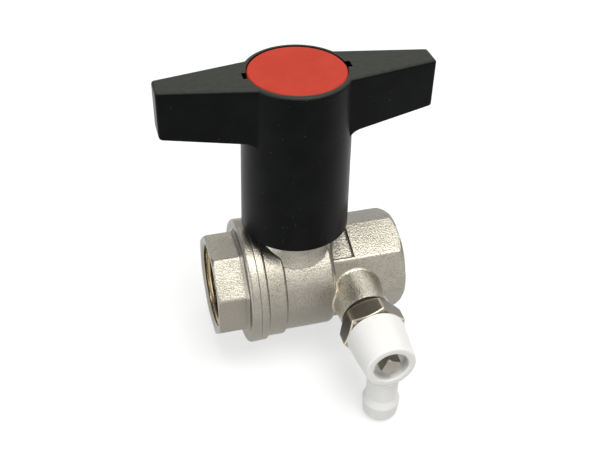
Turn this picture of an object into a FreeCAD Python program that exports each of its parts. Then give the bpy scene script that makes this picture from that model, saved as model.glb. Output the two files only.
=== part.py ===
import FreeCAD, Part
import os
import re
import Sketcher

# Quarter-turn ball valve with a drain on its side and a tall T-handle.
# Every piece is drawn about the centre of the ball: +X runs along the pipe to port B,
# +Z up the stem, and the drain points along -Y. The whole valve then moves along +X,
# so that the origin lies at the centre of port A's mouth.
# Pieces of the drain are drawn upright along their own Z and are laid down by their placement.

os.makedirs("parts", exist_ok=True)
doc = FreeCAD.newDocument("drain_ball_valve")
sheet = doc.addObject("Spreadsheet::Sheet", "Sizes")

DRIVING_SIZES = [
    # ports and pipe run
    ("port_a_reach", 27.6, "ball centre to the face of port A"),
    ("port_b_reach", 33.0, "ball centre to the face of port B"),
    ("port_a_flats", 31.0, "octagon of port A, across flats"),
    ("port_b_flats", 30.5, "octagon of port B, across flats"),
    ("octagon_turning", 1.3, "length of the turned bevel on the octagon corners"),
    ("octagon_edge", 0.8, "rounding of the forged octagon edges"),
    ("thread_radius", 13.22, "pipe thread, largest radius"),
    ("thread_a_depth", 12.0, "thread length in port A"),
    ("thread_b_depth", 15.0, "thread length in port B"),
    ("thread_runout", 1.6, "cone behind a pipe thread"),
    ("mouth_bevel", 0.6, "depth of the bevel in a port mouth"),
    ("mouth_bevel_rise", 0.9, "height of the bevel in a port mouth"),
    ("waterway_radius", 10.2, "passage between thread and seat"),
    # ball, seats and chamber
    ("ball_radius", 14.75, "ball"),
    ("ball_bore_radius", 9.75, "bore through the ball"),
    ("chamber_gap", 0.55, "ball to chamber wall"),
    ("seat_gap", 0.02, "ball to seat face"),
    ("seat_outer_radius", 13.05, "seat ring"),
    ("seat_back", 12.25, "ball centre to the back of a seat ring"),
    ("seat_front", 8.5, "ball centre to the front of a seat ring"),
    ("seat_fit", 0.05, "seat ring to its pocket"),
    ("slot_depth", 3.8, "slot in the top of the ball"),
    ("slot_width", 5.2, "slot in the top of the ball"),
    # end connector and barrel
    ("flange_front", 18.2, "ball centre to the front of the connector flange"),
    ("joint_plane", 15.1, "ball centre to the joint of connector and body"),
    ("flange_radius", 20.0, "flanges at the joint"),
    ("flange_bevel", 1.0, "bevel on the flange edges"),
    ("body_flange_end", 13.4, "ball centre to the end of the body flange"),
    ("step_radius", 18.95, "raised band beside the flange"),
    ("step_end", 6.9, "ball centre to the end of the raised band"),
    ("step_slope", 1.4, "length of the slopes beside the band"),
    ("barrel_radius", 17.9, "barrel"),
    ("barrel_end", 9.5, "ball centre to the shoulder before the octagon"),
    ("barrel_edge", 0.5, "rounding of that shoulder"),
    ("joint_thread_radius", 16.9, "thread between connector and body"),
    ("spigot_length", 7.8, "threaded spigot of the connector"),
    ("thread_fit", 0.05, "radial clearance of the joined threads"),
    ("joint_ring_section", 1.3, "o-ring of the connector, section diameter"),
    ("joint_ring_place", 3.4, "end of the spigot to that o-ring"),
    ("recess_length", 6.8, "flat recess beside the neck"),
    ("recess_depth", 0.9, "flat recess beside the neck"),
    # neck and stem
    ("neck_radius", 11.0, "neck"),
    ("neck_blend", 5.0, "fillet between neck and barrel"),
    ("neck_top", 29.0, "pipe axis to the top of the neck"),
    ("stem_radius", 5.0, "stem shaft"),
    ("stem_fit", 0.05, "running clearance of the stem"),
    ("collar_radius", 7.0, "shoulder that keeps the stem in"),
    ("collar_base", 15.6, "pipe axis to the underside of the shoulder"),
    ("collar_height", 1.6, "shoulder"),
    ("stem_washer_height", 0.9, "thrust washer"),
    ("stem_washer_gap", 0.05, "play above and below the thrust washer"),
    ("tang_width", 5.0, "tang in the slot of the ball"),
    ("tang_length", 9.0, "tang in the slot of the ball"),
    ("stem_ring_section", 1.7, "stem o-ring, section diameter"),
    ("ring_squeeze_gap", 0.02, "play left round each o-ring section"),
    ("ring_groove_extra", 0.7, "groove width beyond the section"),
    ("lower_ring_height", 21.2, "pipe axis to the lower stem o-ring"),
    ("upper_ring_height", 25.4, "pipe axis to the upper stem o-ring"),
    ("stem_square", 7.0, "square that turns the handle"),
    ("square_lead", 1.6, "foot of the square below the web of the handle"),
    ("stem_sink", 0.4, "top of the stem below the top of that web"),
    ("screw_radius", 2.4, "handle screw"),
    ("screw_depth", 10.5, "tapped hole in the stem"),
    # quarter-turn stop
    ("stop_inner_radius", 7.6, "stop lug and stop collar"),
    ("stop_outer_radius", 10.6, "stop lug and stop collar"),
    ("stop_lug_angle", 60.0, "degrees covered by the lug"),
    ("stop_lug_gap", 1.4, "lug to the web of the handle"),
    ("stop_play", 0.5, "degrees left at each end of the travel"),
    ("stop_clearance", 0.4, "collar above the neck"),
    ("quarter_turn", 90.0, "degrees of handle travel"),
    # handle
    ("handle_top", 73.6, "pipe axis to the top of the handle"),
    ("skirt_bottom", 22.0, "pipe axis to the lower rim of the skirt"),
    ("skirt_radius", 16.4, "skirt at its lower rim"),
    ("hub_waist_radius", 16.05, "hub below the wings"),
    ("hub_waist_height", 51.6, "pipe axis to that waist"),
    ("hub_top_radius", 15.65, "hub at the top"),
    ("skirt_wall", 2.8, "skirt"),
    ("web_base", 33.6, "pipe axis to the underside of the web"),
    ("web_height", 8.0, "web that holds the stem square"),
    ("socket_fit", 0.06, "square socket, each side"),
    ("well_radius", 12.5, "screw well"),
    ("edge_round", 0.9, "moulded edges of the handle"),
    ("wing_reach", 39.7, "stem axis to the tip of a wing"),
    ("wing_tip_half", 3.76, "half width of a wing at its tip"),
    ("wing_root_half", 8.1, "half width of a wing at its root"),
    ("wing_root_place", 16.0, "stem axis to the wing root"),
    ("wing_tip_depth", 14.5, "depth of a wing at its tip"),
    ("wing_root_depth", 16.6, "depth of a wing at its root"),
    ("wing_blend", 5.0, "radius of the curve from the wing down to the hub"),
    ("wing_blend_place", 17.3, "stem axis to the start of that curve"),
    ("wing_wall", 2.2, "walls round the cored underside"),
    ("wing_roof", 2.6, "top wall over the cored underside"),
    ("core_start", 19.0, "stem axis to the first core"),
    ("rib_place", 28.0, "stem axis to the rib between the cores"),
    ("rib_half", 0.8, "half thickness of the rib"),
    # cap and its screw
    ("cap_radius", 14.0, "red cap"),
    ("cap_recess", 1.85, "depth of the seat of the cap"),
    ("cap_thickness", 1.75, "disc of the cap"),
    ("cap_gap", 0.18, "dark line round the cap"),
    ("cap_skirt", 5.5, "ring under the cap that clips in the well"),
    ("cap_skirt_wall", 1.2, "that ring"),
    ("notch_width", 3.3, "prying slots"),
    ("notch_length", 1.5, "prying slots"),
    ("notch_depth", 2.6, "prying slots"),
    ("washer_radius", 6.5, "washer under the screw head"),
    ("washer_height", 1.2, "washer under the screw head"),
    ("head_radius", 4.7, "screw head"),
    ("head_height", 3.2, "screw head"),
    ("head_socket", 4.0, "hexagon socket of the screw, across flats"),
    # drain boss and insert
    ("drain_place", 16.5, "ball centre to the drain axis, along the pipe"),
    ("boss_radius", 8.4, "drain boss"),
    ("boss_end", 25.9, "pipe axis to the end of the boss"),
    ("boss_flare", 1.6, "flare at the root of the boss"),
    ("boss_thread_radius", 6.58, "thread in the boss"),
    ("boss_floor", 18.4, "pipe axis to the floor of the boss bore"),
    ("drain_passage", 2.6, "radius of the passage to the pipe"),
    ("lip_height", 0.6, "raised seat lip"),
    ("lip_width", 0.8, "raised seat lip"),
    ("gasket_height", 1.2, "sealing ring under the hexagon"),
    ("gasket_outer", 7.6, "sealing ring under the hexagon"),
    ("hexagon_flats", 17.5, "hexagon of the insert, across flats"),
    ("hexagon_height", 6.5, "hexagon of the insert"),
    ("hexagon_turn", 17.7, "degrees that the hexagon is turned"),
    ("insert_foot", 20.6, "pipe axis to the foot of the insert"),
    ("insert_cavity", 4.9, "radius of the cavity for the seal"),
    ("cavity_end", 27.6, "pipe axis to the end of the cavity"),
    ("insert_neck", 5.5, "radius of the neck that carries the spout"),
    ("insert_neck_end", 39.6, "pipe axis to the end of that neck"),
    ("spout_ring_section", 1.3, "o-ring between insert and spout"),
    ("spout_ring_place", 35.9, "pipe axis to that o-ring"),
    ("snap_wire", 0.8, "diameter of the snap ring's wire"),
    ("snap_place", 38.3, "pipe axis to the snap ring"),
    # drain spindle
    ("spindle_radius", 3.2, "drain spindle"),
    ("spindle_fit", 0.05, "running clearance of the spindle"),
    ("spindle_shoulder", 4.3, "shoulder that keeps the spindle in"),
    ("spindle_base", 22.0, "pipe axis to the foot of the spindle"),
    ("shoulder_height", 1.8, "shoulder of the spindle"),
    ("key_flats", 5.0, "square key end"),
    ("key_base", 43.4, "pipe axis to the foot of the key end"),
    ("key_turn", 20.0, "degrees that the key end is turned"),
    ("key_bevel", 0.5, "bevel on the key end"),
    ("flow_flat", 2.5, "half distance between the two flow flats"),
    ("seal_radius", 4.2, "drain seal"),
    ("seal_height", 1.8, "drain seal"),
    ("holder_plate", 1.0, "plate behind the seal"),
    ("holder_pin", 1.4, "pin of the seal holder"),
    ("holder_pin_length", 3.6, "pin of the seal holder"),
    # spout
    ("spout_root_radius", 9.1, "spout beside the hexagon"),
    ("spout_mouth_radius", 7.65, "spout at its mouth"),
    ("spout_gap", 0.4, "hexagon to spout"),
    ("spout_mouth", 47.7, "pipe axis to the mouth of the spout"),
    ("mouth_radius", 5.35, "open mouth of the spout"),
    ("spout_fit", 0.05, "running clearance on the insert's neck"),
    ("bulkhead_base", 41.4, "pipe axis to the inner wall of the spout"),
    ("bulkhead_end", 43.9, "pipe axis to the mouth side of that wall"),
    ("spindle_ring_section", 1.0, "o-ring round the spindle"),
    ("nozzle_place", 42.5, "pipe axis to the nozzle's axis"),
    ("nozzle_radius", 4.8, "hose nozzle"),
    ("nozzle_bore", 3.0, "bore of the nozzle"),
    ("nozzle_end", 23.4, "pipe axis down to the end of the nozzle"),
    ("bead_radius", 5.7, "bead at the end of the nozzle"),
    ("bead_top", 16.4, "pipe axis down to the bead"),
    ("bead_slope", 3.2, "slope above the bead"),
    ("bead_nose", 0.9, "bevel on the lower end of the bead"),
    ("nozzle_bore_top", 7.5, "pipe axis down to the top of the nozzle bore"),
    ("port_hole", 1.1, "hole between the spout's chamber and the nozzle"),
    ("port_hole_place", 40.25, "pipe axis to that hole"),
    ("port_hole_drop", 8.6, "pipe axis down to the end of that hole"),
    ("soft_edge", 0.6, "rounding of the moulded edges"),
]

for row, (alias, number, note) in enumerate(DRIVING_SIZES, start=1):
    sheet.set("A%d" % row, note)
    sheet.set("B%d" % row, str(number))
    sheet.setAlias("B%d" % row, alias)
doc.recompute()

ALIASES = [entry[0] for entry in DRIVING_SIZES]

# Places along the stem and the drain that several pieces share.
SQUARE_BASE = "( web_base - square_lead )"
STEM_TOP = "( web_base + web_height - stem_sink )"
WEB_TOP = "( web_base + web_height )"
HEXAGON_BASE = "( boss_end + gasket_height )"
HEXAGON_TOP = "( boss_end + gasket_height + hexagon_height )"


# A formula names the sheet's aliases bare; this puts the sheet's name before each of them.
def formula(text):
    text = text.replace("cos (", "cos(").replace("sin (", "sin(")
    return re.sub("[a-z_]+", lambda word: named_cell(word.group(0)), text)


def named_cell(word):
    return "Sizes." + word if word in ALIASES else word


def bind(thing, prop, text):
    thing.setExpression(prop, formula(text))


def number(text):
    return float(sheet.evalExpression(formula(text)))


def new_body(name):
    return doc.addObject("PartDesign::Body", name)


def new_sketch(body, name, role, height=None):
    sketch = body.newObject("Sketcher::SketchObject", name)
    plane = [entry for entry in body.Origin.OriginFeatures if entry.Role == role][0]
    sketch.AttachmentSupport = [(plane, "")]
    sketch.MapMode = "FlatFace"
    if height is not None:
        bind(sketch, "AttachmentOffset.Base.z", height)
    return sketch


# A closed outline of straight lines; each corner is a pair of formulas, across and up.
def draw_outline(sketch, corners):
    places = [FreeCAD.Vector(number(across), number(up), 0) for across, up in corners]
    count = len(places)
    first = sketch.GeometryCount
    for index in range(count):
        sketch.addGeometry(Part.LineSegment(places[index], places[(index + 1) % count]), False)
    for index, (across, up) in enumerate(corners):
        line = first + index
        following = first + (index + 1) % count
        sketch.addConstraint(Sketcher.Constraint("Coincident", line, 2, following, 1))
        place = places[index]
        held = sketch.addConstraint(Sketcher.Constraint("DistanceX", -1, 1, line, 1, place.x))
        bind(sketch, "Constraints[%d]" % held, across)
        held = sketch.addConstraint(Sketcher.Constraint("DistanceY", -1, 1, line, 1, place.y))
        bind(sketch, "Constraints[%d]" % held, up)


def draw_circle(sketch, across, up, radius):
    centre = FreeCAD.Vector(number(across), number(up), 0)
    ring = sketch.addGeometry(Part.Circle(centre, FreeCAD.Vector(0, 0, 1), number(radius)), False)
    held = sketch.addConstraint(Sketcher.Constraint("DistanceX", -1, 1, ring, 3, centre.x))
    bind(sketch, "Constraints[%d]" % held, across)
    held = sketch.addConstraint(Sketcher.Constraint("DistanceY", -1, 1, ring, 3, centre.y))
    bind(sketch, "Constraints[%d]" % held, up)
    held = sketch.addConstraint(Sketcher.Constraint("Radius", ring, number(radius)))
    bind(sketch, "Constraints[%d]" % held, radius)


# Corners of a regular polygon; turn is in degrees from the sketch's first axis.
def polygon_corners(sides, flats, turn):
    corners = []
    for index in range(sides):
        angle = "( %s + %g )" % (turn, index * 360.0 / sides)
        reach = "( %s ) / 2 / cos ( %g )" % (flats, 180.0 / sides)
        corners.append(("%s * cos %s" % (reach, angle), "%s * sin %s" % (reach, angle)))
    return corners


# Turns an outline about a sketch axis: H_Axis is the pipe's line, V_Axis the upright.
def turned(body, name, corners, about, cut=False):
    sketch = new_sketch(body, name + "_outline", "XZ_Plane")
    draw_outline(sketch, corners)
    kind = "PartDesign::Groove" if cut else "PartDesign::Revolution"
    feature = body.newObject(kind, name)
    feature.Profile = sketch
    feature.ReferenceAxis = (sketch, [about])
    feature.Angle = 360
    body.Tip = feature
    return feature


def pad(body, name, sketch, length, reverse=False, cut=False, midplane=False):
    kind = "PartDesign::Pocket" if cut else "PartDesign::Pad"
    feature = body.newObject(kind, name)
    feature.Profile = sketch
    feature.Reversed = reverse
    if midplane:
        feature.SideType = "Symmetric"
    bind(feature, "Length", length)
    body.Tip = feature
    return feature


def round_edges(body, name, size, chosen):
    doc.recompute()
    base = body.Tip
    edges = ["Edge%d" % (index + 1) for index, edge in enumerate(base.Shape.Edges) if chosen(edge)]
    feature = body.newObject("PartDesign::Fillet", name)
    feature.Base = (base, edges)
    bind(feature, "Radius", size)
    body.Tip = feature
    return feature


def cylinder(name, radius, height, base=("0", "0", "0"), lay=None):
    shape = doc.addObject("Part::Cylinder", name)
    bind(shape, "Radius", radius)
    bind(shape, "Height", height)
    if lay:
        shape.Placement.Rotation = lay
    place(shape, *base)
    return shape


def box(name, length, width, height, base):
    shape = doc.addObject("Part::Box", name)
    bind(shape, "Length", length)
    bind(shape, "Width", width)
    bind(shape, "Height", height)
    place(shape, *base)
    return shape


def place(shape, across, along, up):
    bind(shape, "Placement.Base.x", across)
    bind(shape, "Placement.Base.y", along)
    bind(shape, "Placement.Base.z", up)


def cut(name, base, tool):
    shape = doc.addObject("Part::Cut", name)
    shape.Base = base
    shape.Tool = tool
    shape.Refine = False
    return shape


def fuse(name, pieces):
    shape = doc.addObject("Part::MultiFuse", name)
    shape.Shapes = pieces
    shape.Refine = False
    return shape


def common(name, pieces):
    shape = doc.addObject("Part::MultiCommon", name)
    shape.Shapes = pieces
    shape.Refine = False
    return shape


# Flat ring or sleeve about the upright axis.
def sleeve(name, inner, outer, low, high):
    body = new_body(name)
    corners = [(inner, low), (outer, low), (outer, high), (inner, high)]
    turned(body, name + "_ring", corners, "V_Axis")
    return body


def o_ring(name, centre_radius, section, height):
    ring = doc.addObject("Part::Torus", name)
    bind(ring, "Radius1", centre_radius)
    bind(ring, "Radius2", "( %s ) / 2" % section)
    bind(ring, "Placement.Base.z", height)
    return ring


ALONG_PIPE = FreeCAD.Rotation(FreeCAD.Vector(0, 1, 0), 90)
TO_DRAIN = FreeCAD.Rotation(FreeCAD.Vector(1, 0, 0), 90)

nodes = []


# The finished pieces: a label each, and the shift that brings port A to the origin.
def finish(piece, label):
    piece.Label = label
    bind(piece, "Placement.Base.x", "port_a_reach")
    nodes.append(piece)


def finish_drain(piece, label):
    piece.Placement.Rotation = TO_DRAIN
    piece.Label = label
    bind(piece, "Placement.Base.x", "port_a_reach + drain_place")
    nodes.append(piece)



# Neck and barrel with the large fillet between them; only a stretch of it is kept,
# because the barrel and the octagon have different radii. The quarter turn of the run's
# outline puts its seam on top, where it halves the rounded edge.
def neck_blend(name, run_radius, start, end):
    body = new_body(name + "_form")
    run = new_sketch(body, name + "_run_outline", "YZ_Plane")
    run.AttachmentOffset = FreeCAD.Placement(FreeCAD.Vector(0, 0, 0), FreeCAD.Rotation(90, 0, 0))
    draw_circle(run, "0", "0", run_radius)
    pad(body, name + "_run", run, "4 * neck_radius", midplane=True)
    column = new_sketch(body, name + "_column_outline", "XY_Plane")
    draw_circle(column, "0", "0", "neck_radius")
    pad(body, name + "_column", column, "neck_top")
    round_edges(body, name + "_fillet", "neck_blend", is_junction)
    length = "( %s ) - ( %s )" % (end, start)
    base = (start, "-2 * neck_radius", "0")
    keep = box(name + "_stretch", length, "4 * neck_radius", "neck_top + 1", base)
    return common(name, [body, keep])


def is_junction(edge):
    return edge.BoundBox.ZMin > 1 and edge.BoundBox.ZLength > 1 and edge.BoundBox.XLength > 5


def body_outside():
    barrel = new_body("barrel")
    corners = [
        ("-joint_plane", "0"),
        ("-joint_plane", "flange_radius"),
        ("-body_flange_end", "flange_radius"),
        ("-body_flange_end + flange_bevel", "step_radius"),
        ("-step_end", "step_radius"),
        ("-step_end + step_slope", "barrel_radius"),
        ("barrel_end - barrel_edge", "barrel_radius"),
        ("barrel_end", "barrel_radius - barrel_edge"),
        ("barrel_end", "0"),
    ]
    turned(barrel, "barrel_turning", corners, "H_Axis")

    octagon = new_body("octagon_b")
    face = new_sketch(octagon, "octagon_b_outline", "YZ_Plane")
    draw_outline(face, polygon_corners(8, "port_b_flats", "0"))
    pad(octagon, "octagon_b_pad", face, "port_b_reach")
    round_edges(octagon, "octagon_b_edges", "octagon_edge", is_octagon_edge)
    turn_corners(octagon, "octagon_b", "port_b_reach", "port_b_flats", 1)
    recess_beside_neck(octagon)

    left = neck_blend("neck_on_barrel", "barrel_radius - 0.02", "-joint_plane + 1", "barrel_end")
    right = neck_blend("neck_on_octagon", "port_b_flats / 2 - 0.05", "barrel_end", "2 * neck_radius - 1")
    return fuse("body_outside", [barrel, octagon, left, right, drain_boss(), stop_lug()])


# The eight long edges of an octagon lie along the pipe, away from its axis.
def is_octagon_edge(edge):
    span = edge.BoundBox
    straight = span.YLength < 0.01 and span.ZLength < 0.01
    out = (span.YMax ** 2 + span.ZMax ** 2) ** 0.5
    return straight and span.XLength > 5 and out < number("flange_radius - flange_bevel")


# The turned bevel takes the corners off an octagon at its open end.
def turn_corners(body, name, reach, flats, side):
    sign = "" if side > 0 else "-"
    low = "%s / 2 - 0.1" % flats
    high = "%s / 2 / cos ( 22.5 ) + 1" % flats
    rise = "( %s - ( %s ) )" % (high, low)
    corners = [
        ("%s( %s )" % (sign, reach), low),
        ("%s( %s + 1 )" % (sign, reach), low),
        ("%s( %s + 1 )" % (sign, reach), high),
        ("%s( %s - octagon_turning * %s / ( 0.08 * %s ) )" % (sign, reach, rise, flats), high),
    ]
    turned(body, name + "_turning", corners, "H_Axis", cut=True)


# Shallow flat pockets where the forging die met the neck, one on each upper face.
def recess_beside_neck(body):
    sketch = new_sketch(body, "recess_outline", "YZ_Plane", "barrel_end - 1")
    depth = "( port_b_flats / 2 - recess_depth )"
    reach = "port_b_flats / 2 / cos ( 22.5 )"
    outside = "( %s + 1 )" % reach
    for side in ("", "-"):
        corners = []
        for out, turn in ((depth, 50.5), (outside, 50.5), (outside, 84), (depth, 84)):
            spread = "%s / cos ( %g )" % (out, abs(turn - 67.5))
            across = "%s( %s ) * cos ( %g )" % (side, spread, turn)
            corners.append((across, "%s * sin ( %g )" % (spread, turn)))
        draw_outline(sketch, corners)
    pad(body, "recess", sketch, "recess_length + 1", reverse=True, cut=True)


# Drain boss: a round stub with a flared root, along -Y.
def drain_boss():
    body = new_body("drain_boss")
    corners = [
        ("0", "0"),
        ("boss_radius + boss_flare", "0"),
        ("boss_radius + boss_flare", "port_b_flats / 2 - 2"),
        ("boss_radius + boss_flare / 2", "port_b_flats / 2 - 1"),
        ("boss_radius + boss_flare / 6", "port_b_flats / 2 + 0.4"),
        ("boss_radius", "port_b_flats / 2 + 2"),
        ("boss_radius", "boss_end - 0.4"),
        ("boss_radius - 0.4", "boss_end"),
        ("0", "boss_end"),
    ]
    turned(body, "drain_boss_turning", corners, "V_Axis")
    body.Placement.Rotation = TO_DRAIN
    bind(body, "Placement.Base.x", "drain_place")
    return body


def ring_sector(name, inner, outer, height, angle, start, low):
    outside = cylinder(name + "_outside", outer, height)
    bind(outside, "Angle", angle)
    inside = cylinder(name + "_inside", inner, "%s + 2" % height, ("0", "0", "-1"))
    sector = cut(name, outside, inside)
    bind(sector, "Placement.Base.z", low)
    sector.Placement.Rotation = FreeCAD.Rotation(FreeCAD.Vector(0, 0, 1), start)
    return sector


# The lug on the neck, centred 135 degrees from port B, stands in the gap of the handle's collar.
def stop_lug():
    height = "web_base - neck_top - stop_lug_gap + 1"
    start = 135 - number("stop_lug_angle") / 2
    return ring_sector("stop_lug", "stop_inner_radius", "stop_outer_radius", height,
                       "stop_lug_angle", start, "neck_top - 1")


def body_inside():
    run = new_body("run_hollow")
    chamber = "( ball_radius + chamber_gap )"
    runout = "( port_b_reach - thread_b_depth )"
    pocket_end = "( seat_back + seat_fit )"
    corners = [
        ("-joint_plane - 1", "0"),
        ("-joint_plane - 1", "joint_thread_radius"),
        ("-joint_plane + spigot_length", "joint_thread_radius"),
        ("-joint_plane + spigot_length", chamber),
        ("seat_front - 0.3", chamber),
        ("seat_front - 0.3", "seat_outer_radius + seat_fit"),
        (pocket_end, "seat_outer_radius + seat_fit"),
        (pocket_end, "waterway_radius"),
        (runout + " - thread_runout", "waterway_radius"),
        (runout, "thread_radius"),
        ("port_b_reach - mouth_bevel", "thread_radius"),
        ("port_b_reach", "thread_radius + mouth_bevel_rise"),
        ("port_b_reach + 1", "thread_radius + mouth_bevel_rise"),
        ("port_b_reach + 1", "0"),
    ]
    turned(run, "run_hollow_turning", corners, "H_Axis")

    stem_hole = cylinder("stem_hole", "stem_radius + stem_fit", "neck_top + 1")
    pocket = cylinder("stem_pocket", "collar_radius + 0.25",
                      "collar_base + collar_height + stem_washer_height + 2 * stem_washer_gap")
    return fuse("body_inside", [run, stem_hole, pocket, drain_hollow()])


# Bore of the drain boss, with a raised seat lip round the passage in its floor.
def drain_hollow():
    body = new_body("drain_hollow")
    lip = "( drain_passage + lip_width )"
    corners = [
        ("0", "0"),
        ("drain_passage", "0"),
        ("drain_passage", "boss_floor + lip_height"),
        (lip, "boss_floor + lip_height"),
        (lip, "boss_floor"),
        ("boss_thread_radius", "boss_floor"),
        ("boss_thread_radius", "boss_end + 1"),
        ("0", "boss_end + 1"),
    ]
    turned(body, "drain_hollow_turning", corners, "V_Axis")
    body.Placement.Rotation = TO_DRAIN
    bind(body, "Placement.Base.x", "drain_place")
    return body


def valve_body():
    finish(cut("valve_body_shape", body_outside(), body_inside()), "valve_body")


def end_connector():
    body = new_body("connector")
    spigot = "( joint_thread_radius - thread_fit )"
    end = "( -joint_plane + spigot_length - 0.2 )"
    outer = [
        ("-flange_front", "0"),
        ("-flange_front", "flange_radius - flange_bevel"),
        ("-flange_front + 0.6 * flange_bevel", "flange_radius"),
        ("-joint_plane - 0.15", "flange_radius"),
        ("-joint_plane", "flange_radius - 0.25"),
        ("-joint_plane", spigot),
        (end + " - 0.5", spigot),
        (end, spigot + " - 0.5"),
        (end, "0"),
    ]
    turned(body, "connector_turning", outer, "H_Axis")
    face = new_sketch(body, "octagon_a_outline", "YZ_Plane", "-flange_front + 0.5")
    draw_outline(face, polygon_corners(8, "port_a_flats", "22.5"))
    pad(body, "octagon_a_pad", face, "port_a_reach - flange_front + 0.5", reverse=True)
    round_edges(body, "octagon_a_edges", "octagon_edge", is_octagon_edge)
    turn_corners(body, "octagon_a", "port_a_reach", "port_a_flats", -1)
    runout = "( -port_a_reach + thread_a_depth )"
    inner = [
        ("-port_a_reach - 1", "0"),
        ("-port_a_reach - 1", "thread_radius + mouth_bevel_rise"),
        ("-port_a_reach", "thread_radius + mouth_bevel_rise"),
        ("-port_a_reach + mouth_bevel", "thread_radius"),
        (runout, "thread_radius"),
        (runout + " + thread_runout", "waterway_radius"),
        ("-seat_back - seat_fit", "waterway_radius"),
        ("-seat_back - seat_fit", "seat_outer_radius + seat_fit"),
        ("0", "seat_outer_radius + seat_fit"),
        ("0", "0"),
    ]
    turned(body, "connector_hollow", inner, "H_Axis", cut=True)
    ring_root = spigot + " - joint_ring_section"
    ring_half = "( joint_ring_section + ring_groove_extra ) / 2"
    ring_place = "( %s - joint_ring_place )" % end
    groove = [
        ("%s - %s" % (ring_place, ring_half), ring_root),
        ("%s - %s" % (ring_place, ring_half), "joint_thread_radius + 1"),
        ("%s + %s" % (ring_place, ring_half), "joint_thread_radius + 1"),
        ("%s + %s" % (ring_place, ring_half), ring_root),
    ]
    turned(body, "connector_groove", groove, "H_Axis", cut=True)
    finish(body, "end_connector")

    middle = "joint_thread_radius - ring_squeeze_gap - joint_ring_section / 2"
    ring = o_ring("connector_ring", middle, "joint_ring_section - 2 * ring_squeeze_gap", "0")
    ring.Placement.Rotation = ALONG_PIPE
    laid = doc.addObject("Part::Compound", "connector_ring_laid")
    laid.Links = [ring]
    bind(ring, "Placement.Base.x", ring_place)
    finish(laid, "connector_o_ring")


def ball_piece():
    sphere = doc.addObject("Part::Sphere", "ball_sphere")
    bind(sphere, "Radius", "ball_radius")
    start = ("-2 * ball_radius", "0", "0")
    bore = cylinder("ball_bore", "ball_bore_radius", "4 * ball_radius", start, ALONG_PIPE)
    slot = box("ball_slot", "slot_width", "4 * ball_radius", "2 * slot_depth",
               ("-slot_width / 2", "-2 * ball_radius", "ball_radius - slot_depth"))
    finish(cut("ball_shape", sphere, fuse("ball_cuts", [bore, slot])), "ball")


def ball_seat(label, side):
    sign = "" if side > 0 else "-"
    body = new_body(label + "_ring")
    inner = "( ball_bore_radius + 0.45 )"
    corners = [
        (sign + "seat_back", inner),
        (sign + "seat_back", "seat_outer_radius - 0.4"),
        (sign + "( seat_back - 0.4 )", "seat_outer_radius"),
        (sign + "seat_front", "seat_outer_radius"),
        (sign + "seat_front", inner),
    ]
    turned(body, label + "_turning", corners, "H_Axis")
    sphere = doc.addObject("Part::Sphere", label + "_sphere")
    bind(sphere, "Radius", "ball_radius + seat_gap")
    finish(cut(label + "_shape", body, sphere), label)


def stem_piece():
    body = new_body("stem_turned")
    collar_top = "( collar_base + collar_height )"
    root = "( stem_radius + stem_fit - stem_ring_section - ring_squeeze_gap )"
    half = "( stem_ring_section + ring_groove_extra ) / 2"
    corners = [
        ("0", "collar_base - 1"),
        ("tang_width / 2 + 1", "collar_base - 1"),
        ("collar_radius - 0.8", "collar_base"),
        ("collar_radius", "collar_base + 0.4"),
        ("collar_radius", collar_top),
        ("stem_radius", collar_top),
    ]
    for height in ("lower_ring_height", "upper_ring_height"):
        corners += [
            ("stem_radius", "%s - %s" % (height, half)),
            (root, "%s - %s" % (height, half)),
            (root, "%s + %s" % (height, half)),
            ("stem_radius", "%s + %s" % (height, half)),
        ]
    corners += [
        ("stem_radius", STEM_TOP + " - 0.6"),
        ("stem_radius - 0.6", STEM_TOP),
        ("0", STEM_TOP),
    ]
    turned(body, "stem_turning", corners, "V_Axis")
    tang_sketch = new_sketch(body, "tang_outline", "XY_Plane", "ball_radius - slot_depth + 0.15")
    half_width, half_length = "tang_width / 2", "tang_length / 2"
    draw_outline(tang_sketch, rectangle("-" + half_width, half_width, "-" + half_length, half_length))
    pad(body, "tang", tang_sketch, "collar_base - ball_radius + slot_depth")
    outside = new_sketch(body, "square_outline", "XY_Plane", SQUARE_BASE)
    reach, side = "stem_radius + 1", "stem_square / 2"
    draw_outline(outside, rectangle("-( %s )" % reach, reach, "-( %s )" % reach, reach))
    draw_outline(outside, rectangle("-" + side, side, "-" + side, side))
    pad(body, "square", outside, "%s - %s + 1" % (STEM_TOP, SQUARE_BASE), reverse=True, cut=True)
    tapped = new_sketch(body, "tapped_outline", "XY_Plane", STEM_TOP + " - screw_depth")
    draw_circle(tapped, "0", "0", "screw_radius + stem_fit")
    pad(body, "tapped_hole", tapped, "screw_depth + 1", reverse=True, cut=True)
    finish(body, "stem")


def rectangle(left, right, low, high):
    return [(left, low), (right, low), (right, high), (left, high)]


def stem_seals():
    low = "( collar_base + collar_height + stem_washer_gap )"
    high = low + " + stem_washer_height"
    washer = sleeve("thrust_washer", "stem_radius + stem_fit", "collar_radius + 0.1", low, high)
    finish(washer, "stem_thrust_washer")
    middle = "stem_radius + stem_fit - ring_squeeze_gap - stem_ring_section / 2"
    section = "stem_ring_section - 2 * ring_squeeze_gap"
    finish(o_ring("lower_ring", middle, section, "lower_ring_height"), "stem_o_ring_lower")
    finish(o_ring("upper_ring", middle, section, "upper_ring_height"), "stem_o_ring_upper")


# Plan of the two wings: they widen evenly from the tips to the stem axis.
def wing_half_at(across):
    slope = "( wing_root_half - wing_tip_half ) / ( wing_reach - wing_root_place )"
    return "( wing_tip_half + ( wing_reach - ( %s ) ) * %s )" % (across, slope)


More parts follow.
